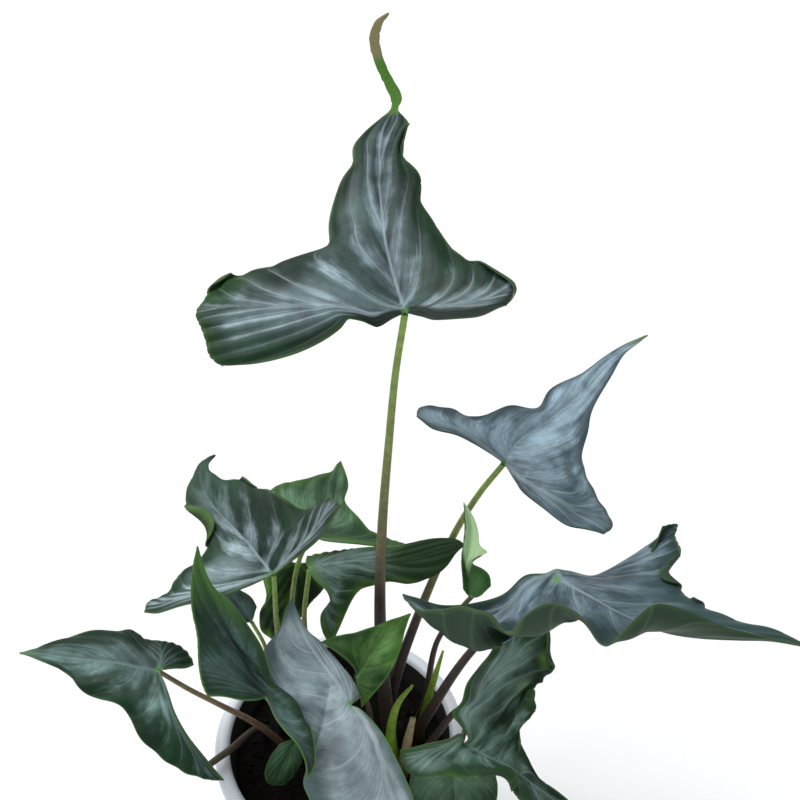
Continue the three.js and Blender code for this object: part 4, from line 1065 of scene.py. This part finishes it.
grow_blade(
    "right", right_leaf, (right_skin, right_back, leaf_edge), rows=170, across=40,
    bend=0.2, quilting=0.4, folds=(((3.1, 5.2, 8, 180), (5.8, 6.7, 4, 160)), ()),
)
grow_stalk("right", right_leaf, brown_stalk, foot=4, neck=1.5, clear=1.2)

# A broad silvery leaf on the upper left, with a hooked tip and long side lobes. Its margins are folded
# over here and there, and a thin olive stalk carries it up from the left of the clump.
left_high_leaf = dict(
    joint=(-29, 0, 264),
    rib=[
        (-8.5, 9, -5), (-20, 20, -12), (-32.5, 30, -20), (-41.5, 41, -27), (-44.5, 51, -33),
        (-42, 57, -37), (-38, 59, -39),
    ],
    left_back=[(-4, -2.5, 2), (-11.5, -6, 5), (-25, -11, 6), (-44, -15.5, 5), (-57, -19, 4)],
    left_front=[
        (-65, -18.5, 3), (-63.5, -13, 1), (-54, -10, 0), (-49, 0, -2), (-41.5, 4, -4), (-34.5, 14, -8),
        (-35.5, 22, -13), (-41.5, 27.5, -17), (-49, 32, -21), (-51.5, 38.5, -27), (-49.5, 46, -32),
        (-46.5, 54.5, -36),
    ],
    right_back=[(9, 5, 4), (20.5, 13, 9), (28.5, 20.5, 12), (33.5, 30, 12)],
    right_front=[
        (35.5, 37, 10), (31, 39.5, 6), (27, 39.5, 2), (21, 34, -2), (12, 34, -4), (2.5, 39.5, -8),
        (-5.5, 43, -12), (-12, 42, -15), (-19, 47, -20), (-24.5, 46, -23), (-32, 46.5, -27),
        (-40, 49.5, -31), (-41.5, 54, -35),
    ],
    dome=(0.1, 0.1),
    stalk=[(-28, 9), (-29, 6, 160), (-31, 3, 217)],
)
left_high_skin = leaf_skin(
    "left_high_skin", bloom=(0.31, 0.4, 0.45), green=(0.011, 0.036, 0.016), pale=(0.42, 0.52, 0.54),
    seed=4, bloom_reach=0.42, streaks=0.75, gaps=0.5, halves=(1, 0.7), depth=0.35,
    shade_and_light_spots=[
        dict(at=(0.22, -0.45), size=(0.12, 0.4), strength=0.5, colour=(0.26, 0.335, 0.365)),
        dict(at=(0.13, 0.62), size=(0.09, 0.34), strength=0.75, colour=(0.012, 0.036, 0.018)),
    ],
    tip=((0.35, 0.9, (0.035, 0.08, 0.048)),),
)
grow_blade(
    "left_high", left_high_leaf, (left_high_skin, green_back, leaf_edge), rows=130,
    veins=6, bend=0.22, quilting=0.6, folds=(((4.9, 8.3, 9, 178),), ((6.8, 8.6, 3.5, 170),)),
)
grow_stalk("left_high", left_high_leaf, olive_stalk, foot=2.5, neck=1.3)

# The lowest leaf on the left is dark green with little bloom. Its tan stalk leans out over the soil and
# the rim, and the blade hangs outside the pot.
left_leaf = dict(
    joint=(-96, -9, 199),
    rib=[(-10, 2, 2), (-23, 5, 3), (-37, 6, 2), (-55, 6.5, -2), (-69, 7, -6), (-81, 6.5, -10)],
    left_back=[(6, -5.5, 5), (11, -10.5, 12), (16, -18, 18), (24, -27, 25), (34, -36, 31)],
    left_front=[
        (43, -44, 36), (36, -44.5, 35), (22, -42, 32), (8.5, -35.5, 28), (-3.5, -27.5, 23),
        (-10, -18, 20), (-16.5, -11.5, 18), (-28, -10.5, 15), (-37, -8, 12), (-43.5, -2, 8),
        (-56, 3, 3), (-69.5, 5.5, -4),
    ],
    right_back=[(7, -0.5, -2), (13, -1.5, -6)],
    right_front=[
        (17, 0.5, -9), (12.5, 6, -13), (5, 10.5, -15), (-5, 12, -15), (-13, 13, -15), (-19, 17.5, -17),
        (-30, 17, -18), (-45, 16, -19), (-58.5, 13, -18), (-69, 9, -16), (-76, 7, -13),
    ],
    dome=(0.1, 0.1),
    stalk=[(-34, -1), (-38, -2, 124), (-50, -3, 143), (-67, -6, 164), (-82, -8, 181)],
)
left_skin = leaf_skin(
    "left_skin", bloom=(0.155, 0.25, 0.245), green=(0.009, 0.034, 0.014), pale=(0.2, 0.3, 0.29), seed=5,
    bloom_reach=0.5, streaks=0.6, vein_strength=0.35, halves=(1, 0.7),
    shade_and_light_spots=[
        dict(at=(0.14, -0.72), size=(0.13, 0.48), strength=0.9, colour=(0.008, 0.034, 0.012)),
        dict(at=(0.4, 0.92), size=(0.45, 0.5), strength=0.85, colour=(0.009, 0.034, 0.015)),
        dict(at=(0.36, 0.1), size=(0.22, 0.4), strength=0.5, colour=(0.155, 0.235, 0.235)),
        dict(at=(0.13, -0.42), size=(0.035, 0.2), strength=0.8, colour=(0.17, 0.26, 0.26)),
    ],
    tip=((0.8, 1, (0.1, 0.2, 0.11)),),
)
grow_blade("left", left_leaf, (left_skin, green_back, leaf_edge), veins=5)
grow_stalk("left", left_leaf, tan_stalk, foot=2.7, neck=1.4)

# A dark narrow leaf stands up beside the pale one in front. Its margin and tip are a light green, and
# its brown stalk rises from the front left of the soil.
front_left_leaf = dict(
    joint=(-30.5, -45.5, 225.5),
    rib=[(-8, 15, -1), (-17.5, 31, 0), (-26, 47, 2), (-31.5, 62, 5), (-32, 76.5, 8)],
    left_back=[(-4.5, 0, 3), (-11.5, 1, 6), (-20, 4, 9.5)],
    left_front=[
        (-26, 5, 12.5), (-29, 11.5, 12.5), (-31, 22, 11), (-31.5, 33.5, 10), (-34.5, 45.5, 9),
        (-35, 56, 8.5), (-34, 67.5, 8.5),
    ],
    right_back=[(3, -2.5, 1), (7, -8.5, 4), (12.5, -13.5, 8), (18.5, -18.5, 12), (22, -25.5, 15)],
    right_front=[
        (22.5, -33, 17), (26, -27, 16), (26, -20, 15), (25, -13.5, 13), (22, -9, 11), (17, -7, 9),
        (12, -6.5, 7), (6, 0, 4), (2, 11.5, 1), (-1.5, 24, -1), (-9.5, 37, -1), (-17, 46.5, 0),
        (-23.5, 53, 2), (-28.5, 62.5, 5),
    ],
    dome=(0.1, 0.1),
    stalk=[(-24, -9), (-20, -10, 140), (-20, -14, 156), (-25, -24, 182), (-30, -36, 212)],
)
front_left_skin = leaf_skin(
    "front_left_skin", bloom=(0.062, 0.105, 0.105), green=(0.018, 0.044, 0.024),
    pale=(0.12, 0.19, 0.16), seed=6, bloom_reach=0.55, streaks=0.6, gaps=0.25, vein_strength=0.3,
    margin=0.8, tip=((0.55, 0.95, (0.09, 0.21, 0.05)),),
)
grow_blade(
    "front_left", front_left_leaf, (front_left_skin, green_back, leaf_edge), veins=5,
    quilting=0.5,
)
grow_stalk("front_left", front_left_leaf, brown_stalk, foot=2.5, neck=1.3)

# The pale leaf in front faces the viewer, its tip up and its long lobe hanging down. Bloom covers nearly
# all of it, and its side veins run on almost straight. A brown stalk leans forward to it.
front_leaf = dict(
    joint=(11, -44.5, 218),
    rib=[(-7, 10, -4), (-15.5, 19, -9), (-23.5, 28.5, -15), (-28.5, 37.5, -19), (-32, 48, -22)],
    left_back=[
        (6, -1, 3), (12.5, -5.5, 7), (18.5, -11.5, 11), (23.5, -19, 15), (28.5, -28.5, 18),
        (32.5, -39.5, 21), (31, -53, 24),
    ],
    left_front=[
        (30.5, -52, 26), (22, -63, 28), (7.5, -61.5, 28), (-4.5, -56.5, 24), (-13, -48, 20),
        (-19.5, -37.5, 16), (-22, -32, 14), (-20, -24.5, 12), (-20, -16.5, 9), (-24, -9.5, 6),
        (-31.5, -6, 2), (-38, -1, -4), (-42.5, 10, -7), (-46, 24, -11), (-37.5, 32.5, -17),
        (-36, 41, -22),
    ],
    right_back=[(1.5, -0.5, -6), (3, -0.5, -11)],
    right_front=[
        (2.5, 2.5, -15), (0.5, 6.5, -18), (-4.5, 11.5, -20), (-10.5, 18.5, -21), (-17, 26, -21),
        (-23, 30.5, -21), (-28, 38.5, -22),
    ],
    dome=(0.06, 0.15),
    stalk=[(-15, -6), (-10, -17, 165), (2, -32, 200)],
)
front_skin = leaf_skin(
    "front_skin", bloom=(0.32, 0.4, 0.44), green=(0.07, 0.11, 0.11), pale=(0.46, 0.54, 0.56), seed=7,
    bloom_reach=0.75, streaks=0.3, margin=0.5, depth=0.35,
    shade_and_light_spots=[
        dict(at=(0.63, -0.28), size=(0.26, 0.6), strength=0.8, colour=(0.14, 0.19, 0.215)),
        dict(at=(0.15, -0.5), size=(0.15, 0.5), strength=0.5, colour=(0.38, 0.47, 0.51)),
    ],
    tip=((0.8, 1, (0.12, 0.18, 0.17)),),
)
grow_blade(
    "front", front_leaf, (front_skin, green_back, leaf_edge), rows=130, across=44,
    veins=6, bend=0.5, curve=1, lobe_curve=0.4, quilting=0.3,
)
grow_stalk("front", front_leaf, brown_stalk, foot=3, neck=1.5)

# A dark leaf low on the right, with ruffled and rolled margins and a pale green joint. Its lower face is
# dull, and a brown stalk carries it out to the front.
front_right_leaf = dict(
    joint=(68, -50, 193),
    rib=[(11, -5, 2), (23.5, -10, 5), (36, -18, 7), (49, -27, 8), (64.5, -36.5, 8)],
    left_back=[
        (3, 3, -1), (-1, 10, 1), (-5, 16, 1), (0, 20.5, -3), (3, 28.5, -7), (10, 36.5, -11),
        (16.5, 43, -15), (21, 53, -19),
    ],
    left_front=[
        (32.5, 62.5, -23), (44, 60, -20), (47, 50, -15), (47, 40, -11), (47, 36.5, -5), (36, 30, -8),
        (38, 24.5, -5), (35, 18, -2), (26.5, 12, -3), (29.5, 4.5, 1), (34, -6, 4), (37, -14, 6),
        (46, -19.5, 8), (56.5, -28, 9),
    ],
    right_back=[(-2, 6.5, 2), (-9, 5, 5), (-20, 4, 9)],
    right_front=[
        (-32, 2, 12), (-30, -6, 14), (-23.5, -10, 15), (-11, -9, 14), (2.5, -11, 14), (16, -9, 13),
        (23, -13.5, 12), (25, -19.5, 12), (32.5, -26.5, 12), (48, -33, 11),
    ],
    dome=(0.05, 0.1),
    stalk=[(45, -11), (58, -14, 150), (68, -22, 182), (71, -36, 195)],
)
front_right_skin = leaf_skin(
    "front_right_skin", bloom=(0.16, 0.25, 0.22), green=(0.014, 0.042, 0.018), pale=(0.26, 0.38, 0.33),
    seed=8, bloom_reach=0.5, streaks=0.35, gaps=0.35, vein_strength=0.45, depth=0.45, lit=0.15,
    shade_and_light_spots=[
        dict(at=(0.08, -0.95), size=(0.1, 0.16), strength=0.95, colour=(0.008, 0.058, 0.006)),
        dict(at=(0.21, -0.72), size=(0.05, 0.1), strength=0.75, colour=(0.15, 0.25, 0.15)),
        dict(at=(0.08, -0.5), size=(0.05, 0.35), strength=0.6, colour=(0.2, 0.3, 0.28)),
        dict(at=(0.16, 0.8), size=(0.14, 0.25), strength=0.5, colour=(0.19, 0.27, 0.26)),
        dict(at=(0.55, -0.3), size=(0.15, 0.4), strength=0.6, colour=(0.018, 0.046, 0.026)),
        dict(at=(0.19, -1), size=(0.06, 0.1), strength=0.9, colour=(0.15, 0.32, 0.06)),
        dict(at=(0.35, -0.4), size=(0.07, 0.25), strength=0.9, colour=(0.008, 0.024, 0.008)),
        dict(at=(0.82, -0.6), size=(0.25, 0.6), strength=0.6, colour=(0.016, 0.042, 0.022)),
    ],
)
front_right_back = leaf_back(
    "front_right_back", green=(0.034, 0.078, 0.032), pale=(0.065, 0.13, 0.06), glow=0.25,
)
grow_blade(
    "front_right", front_right_leaf, (front_right_skin, front_right_back, leaf_edge),
    rows=150, veins=6, bend=0.2, quilting=0.4, folds=(((0.6, 4.6, 6, 172),), ((4.3, 6.8, 8, 172),)),
    ruffles=(((2.6, 1, -5), (4.6, 0.5, 4), (6.6, 1.1, 5), (9, 0.8, -4)), ()),
)
grow_stalk("front_right", front_right_leaf, brown_stalk, foot=3, neck=1.4)

# A small bright green leaf in the middle of the clump, with light coming through its margin. It stands
# on a short brown stalk between the tall ones.
middle_leaf = dict(
    joint=(13, -20, 209),
    rib=[(6, 8, -2), (12.5, 16, -5), (20.5, 23.5, -8), (29, 30, -12)],
    left_back=[(-2, 5, 1), (-8.5, 11, 0), (-14.5, 14.5, -2)],
    left_front=[(-19, 17, -3), (-13, 19.5, -4), (-3.5, 21, -5), (7, 23.5, -7), (18, 27, -10)],
    right_back=[(1, -4, 3), (2.5, -8.5, 6)],
    right_front=[
        (3, -14, 8), (8, -8.5, 7), (15.5, -0.5, 5), (20.5, 7.5, 2), (24, 16, -2), (26, 23.5, -7),
    ],
    dome=(0.1, 0.1),
    stalk=[(20, -10), (19, -10, 160)],
)
middle_skin = leaf_skin(
    "middle_skin", bloom=(0.13, 0.275, 0.075), green=(0.032, 0.105, 0.023), pale=(0.14, 0.28, 0.08),
    seed=9, vein_strength=0.3, margin=0.6, depth=0.4, lit=0.6,
)
grow_blade(
    "middle", middle_leaf, (middle_skin, green_back, leaf_edge), rows=70, across=26,
    veins=4, quilting=0.4,
)
grow_stalk("middle", middle_leaf, brown_stalk, foot=2.3, neck=1.3)

# A green leaf behind, mostly covered by the broad one in front of it. Its far half is dark, and a thin
# olive stalk leans back to it.
back_leaf = dict(
    joint=(-14.5, 49, 243.5),
    rib=[(10, 9, -6), (12, 22.5, -12.5), (14, 34, -17.5), (15, 42, -20.5)],
    left_back=[(-12, 2, 6), (-22, 8, 8)],
    left_front=[
        (-27.5, 16.5, 8), (-25.5, 25, 4), (-18, 30.5, 0), (-7.5, 31.5, -6), (1.5, 34.5, -11.5),
        (9.5, 35.5, -15.5), (13, 40.5, -18.5),
    ],
    right_back=[(6, -2.5, 2), (13.5, -4, 2), (24.5, -5, 2), (37, -6.5, 0), (47.5, -7, -3)],
    right_front=[
        (55, -5.5, -5), (48.5, -3.5, -5), (37, 0.5, -5), (29.5, 6, -7), (23, 13.5, -9), (17, 20, -12.5),
        (20.5, 27, -15.5), (17.5, 36.5, -18.5),
    ],
    dome=(0.1, 0.1),
    stalk=[(-27, 20), (-28, 27, 165), (-27, 38, 208), (-22, 47, 229)],
)
back_skin = leaf_skin(
    "back_skin", bloom=(0.14, 0.25, 0.15), green=(0.034, 0.08, 0.04), pale=(0.18, 0.3, 0.19), seed=10,
    bloom_reach=0.75, streaks=0.3, vein_strength=0.3, margin=0.5, lit=0.3,
    shade_and_light_spots=[dict(at=(0.16, 0.8), size=(0.6, 1.2), strength=0.95, colour=(0.022, 0.054, 0.026))],
)
grow_blade(
    "back", back_leaf, (back_skin, green_back, leaf_edge), rows=80, across=28, veins=4,
    quilting=0.5,
)
grow_stalk("back", back_leaf, olive_stalk, foot=2.5, neck=1.3)

# A silvery leaf behind the tall stalk, stretched out to the right, with one lobe hanging down. A thin
# olive stalk comes up to it behind the others.
back_middle_leaf = dict(
    joint=(-15, 30, 237),
    rib=[(12, 3, 1), (26, 5, 3), (43, 5.5, 7), (59, 7.5, 11), (72.5, 12, 16), (86, 17, 20)],
    left_back=[(-2, 2, -5)],
    left_front=[
        (-2, 5, -11), (7, 7.5, -9), (19, 9.5, -7), (29.5, 11, -5), (40.5, 12.5, -1), (52.5, 13, 3),
        (57, 16, 6), (68.5, 18.5, 10), (80, 20, 15),
    ],
    right_back=[
        (1.5, -2.5, 2), (5.5, -6.5, 4), (11, -11, 5), (13, -18, 5), (8, -23.5, 6), (8.5, -32, 8),
    ],
    right_front=[
        (13, -40.5, 9), (18.5, -29, 9), (23.5, -17.5, 8), (29, -9.5, 8), (37.5, -7, 8), (45.5, -5, 9),
        (56.5, -5.5, 12), (65.5, -2.5, 15), (75.5, 4, 18), (80, 11.5, 20),
    ],
    dome=(0.05, 0.05),
    stalk=[(-16, 16), (-18, 20, 165), (-19, 24, 205)],
)
back_middle_skin = leaf_skin(
    "back_middle_skin", bloom=(0.17, 0.26, 0.24), green=(0.016, 0.05, 0.016), pale=(0.22, 0.32, 0.3),
    seed=11, bloom_reach=0.5, streaks=0.6, vein_strength=0.35, margin=0.5, lit=0.5,
    shade_and_light_spots=[
        dict(at=(0.42, -0.3), size=(0.2, 0.35), strength=0.55, colour=(0.165, 0.245, 0.25)),
        dict(at=(0.66, 0.7), size=(0.1, 0.25), strength=0.7, colour=(0.08, 0.19, 0.03)),
    ],
    tip=((0.45, 0.7, (0.012, 0.038, 0.01)),),
)
grow_blade(
    "back_middle", back_middle_leaf, (back_middle_skin, green_back, leaf_edge), rows=90,
    across=28, veins=5, quilting=0.6,
)
grow_stalk("back_middle", back_middle_leaf, olive_stalk, foot=2.6, neck=1.3)

# A young leaf that is still opening: pale green and narrow, with a small twisted flap. Both of its faces
# are the same fresh green, and its brown stalk leans to the right.
unfurling_leaf = dict(
    joint=(73, 0, 247),
    rib=[(-2, 11, 0), (-2, 19, 0), (0.5, 32, -1), (0, 42, -2), (-3.5, 49.5, -3)],
    left_back=[(-2, 2, 1)],
    left_front=[(-4, 5, 2), (-4.5, 14, 3), (-5, 22, 2), (-3.5, 31, 2), (-3, 40, 1), (-3, 46, -1)],
    right_back=[(5, 2, 4)],
    right_front=[
        (10, 7.5, 6), (9.5, 13, 6), (5.5, 16.5, 4), (0.5, 18.5, 3), (2.5, 21.5, 4), (9, 25, 5),
        (4.5, 27.5, 3), (4, 35, 1), (1.5, 43, -1),
    ],
    dome=(0, 0.1),
    stalk=[(45, 13), (51, 10, 146), (57, 8, 203), (70, 3, 238)],
)
unfurling_skin = leaf_skin(
    "unfurling_skin", bloom=(0.045, 0.125, 0.038), green=(0.026, 0.088, 0.02), pale=(0.16, 0.3, 0.12),
    seed=12, bloom_reach=0.7, vein_strength=0.2, tip=((0.3, 0.5, (0.56, 0.82, 0.46)),),
)
grow_blade(
    "unfurling", unfurling_leaf, (unfurling_skin, unfurling_skin, leaf_edge), rows=70,
    across=20, veins=4, quilting=0.2,
)
grow_stalk("unfurling", unfurling_leaf, brown_stalk, foot=2.8, neck=1.3)

# A leaf low at the front, hanging over the rim. It is a plain green with an even, thin bloom, and a
# short tan stalk leans out to it.
low_right_leaf = dict(
    joint=(66, -41, 153),
    rib=[(0, -9, 6), (0.5, -20, 14), (0, -31, 22), (-2, -42, 30)],
    left_back=[(7, 5, -3), (14, 7, -4)],
    left_front=[(20, 4, -2), (23, -4, 4), (21, -14, 11), (15, -24, 18), (7, -34, 25)],
    right_back=[(-7, 4, -2), (-16, 6, -3)],
    right_front=[(-23, 3, -1), (-25, -6, 5), (-22, -16, 12), (-16, -26, 19), (-9, -36, 26)],
    dome=(0.15, 0.15),
    stalk=[(54, -6), (58, -12, 135)],
)
low_right_skin = leaf_skin(
    "low_right_skin", bloom=(0.15, 0.265, 0.175), green=(0.039, 0.098, 0.042), pale=(0.18, 0.3, 0.2),
    seed=13, bloom_reach=0.8, streaks=0.3, vein_strength=0.3, lit=0.5,
)
grow_blade(
    "low_right", low_right_leaf, (low_right_skin, green_back, leaf_edge), rows=70,
    across=26, veins=5, quilting=0.5,
)
grow_stalk("low_right", low_right_leaf, tan_stalk, foot=2.2, neck=1.2)

# A small dark leaf low over the soil, nearly without bloom. A short brown stalk holds it up from the
# left of the clump.
low_left_leaf = dict(
    joint=(-24, -14, 145),
    rib=[(-4, -8, 3), (-9, -17, 5), (-13, -25, 6)],
    left_back=[(2, -2, 0)],
    left_front=[(4, -7, 1), (3, -14, 2), (-1, -20, 4), (-6, -25, 5)],
    right_back=[(-4, -1, 1)],
    right_front=[(-9, -3, 2), (-14, -9, 4), (-17, -16, 5), (-17, -22, 6)],
    dome=(0.15, 0.15),
    stalk=[(-29, -6), (-28, -9, 128)],
)
low_left_skin = leaf_skin(
    "low_left_skin", bloom=(0.055, 0.13, 0.06), green=(0.018, 0.055, 0.022), pale=(0.09, 0.18, 0.1),
    seed=14, bloom_reach=0.7, vein_strength=0.2,
)
grow_blade(
    "low_left", low_left_leaf, (low_left_skin, green_back, leaf_edge), rows=50, across=20,
    veins=4, quilting=0.3,
)
grow_stalk("low_left", low_left_leaf, brown_stalk, foot=1.6, neck=1)

# A small greyish leaf behind the dark one on the left. It is young and nearly flat, on a thin olive
# stalk of its own.
left_inner_leaf = dict(
    joint=(-46, 9, 217),
    rib=[(-5, 6, 0), (-11, 13, -1), (-16, 19, -3)],
    left_back=[(-4, 0, 1)],
    left_front=[(-9, 1, 2), (-15, 4, 2), (-18, 9, 1), (-18, 15, -1)],
    right_back=[(2, 4, 1)],
    right_front=[(3, 9, 1), (0, 14, 0), (-5, 17, -1), (-11, 19, -2)],
    dome=(0.15, 0.15),
    stalk=[(-38, 10), (-39, 11, 160), (-41, 11, 195)],
)
left_inner_skin = leaf_skin(
    "left_inner_skin", bloom=(0.09, 0.15, 0.145), green=(0.025, 0.06, 0.035), pale=(0.11, 0.18, 0.17),
    seed=15, bloom_reach=0.8, vein_strength=0.2,
)
grow_blade(
    "left_inner", left_inner_leaf, (left_inner_skin, green_back, leaf_edge), rows=50,
    across=20, veins=4, quilting=0.3,
)
grow_stalk("left_inner", left_inner_leaf, olive_stalk, foot=1.8, neck=1.1)

# A dark green leaf hangs behind the others, low in the gap between them, with light coming through its
# thin margin. Its olive stalk stands at the back of the pot and leans away from the clump.
back_low_leaf = dict(
    joint=(-26, 60, 211),
    rib=[(-3, -12, 1), (-9, -29, -2), (-15.5, -49, -8)],
    left_back=[(9, 0, -1)],
    left_front=[(19.5, -6.5, -4), (15, -17, -2), (7.5, -24, 0), (1, -35, -2), (-7.5, -44, -5)],
    right_back=[(-9, 1.5, -1)],
    right_front=[(-22, -3, -5), (-21, -12, -3), (-18.5, -21, -1), (-23.5, -31, -2), (-23, -42, -5)],
    dome=(0.1, 0.1),
    stalk=[(-24, 36), (-25, 56, 155), (-27, 74, 196)],
)
back_low_skin = leaf_skin(
    "back_low_skin", bloom=(0.05, 0.125, 0.02), green=(0.008, 0.03, 0.006), pale=(0.07, 0.15, 0.03),
    seed=16, bloom_reach=0.35, vein_strength=0.2, depth=0.45, lit=0.8,
)
grow_blade(
    "back_low", back_low_leaf, (back_low_skin, green_back, leaf_edge), rows=50, across=20,
    veins=4, quilting=0.5,
)
grow_stalk("back_low", back_low_leaf, olive_stalk, foot=2, neck=1.2)

# Between the stalks stand other young and old growth: a leaf still rolled like a spike, bright with
# new green, a green sheath, a papery dried one, and the bare stalk of a leaf that was cut away.
young_skin = stalk_skin(
    "young_shoot", foot=(0.1, 0.2, 0.01), middle=(0.17, 0.32, 0.015), neck=(0.26, 0.42, 0.03),
)
dry_skin = stalk_skin(
    "dry_sheath", foot=(0.16, 0.11, 0.05), middle=(0.33, 0.26, 0.12), neck=(0.42, 0.35, 0.19),
)
rolled_shoot_route = [
    (34, -14, 99), (34, -14, 112), (31.5, -14, 133), (31, -12, 152), (35, -9, 170), (43, -6, 182),
]
grow_bar(
    "rolled_shoot_fine", rolled_shoot_route, "rolled_shoot", young_skin,
    radii=[3.2, 4, 3.4, 2.8, 2, 0.8],
)
green_sheath_route = [(49, 6, 99), (49, 6, 112), (50, 4, 140), (54, 2, 168), (60, 2, 202)]
grow_bar(
    "green_sheath_fine", green_sheath_route, "green_sheath", young_skin,
    radii=[2, 2.2, 2.4, 2, 0.7], flat=0.4,
)
dry_sheath_route = [(38, -19, 99), (38, -19, 112), (38.5, -18, 128), (41, -15, 147), (43.5, -12, 161)]
grow_bar(
    "dry_sheath_fine", dry_sheath_route, "dry_sheath", dry_skin,
    radii=[3, 3.2, 3, 2.6, 1.6], flat=0.35,
)
spent_stalk_route = [
    (-46, 12, 99), (-46, 12, 112), (-52, 2, 128), (-62, -16, 137), (-70, -24, 138), (-77, -30, 137),
]
grow_bar(
    "spent_stalk_fine", spent_stalk_route, "spent_stalk", brown_stalk,
    radii=[2.8, 2.7, 2.5, 2.3, 2.1, 1.9],
)
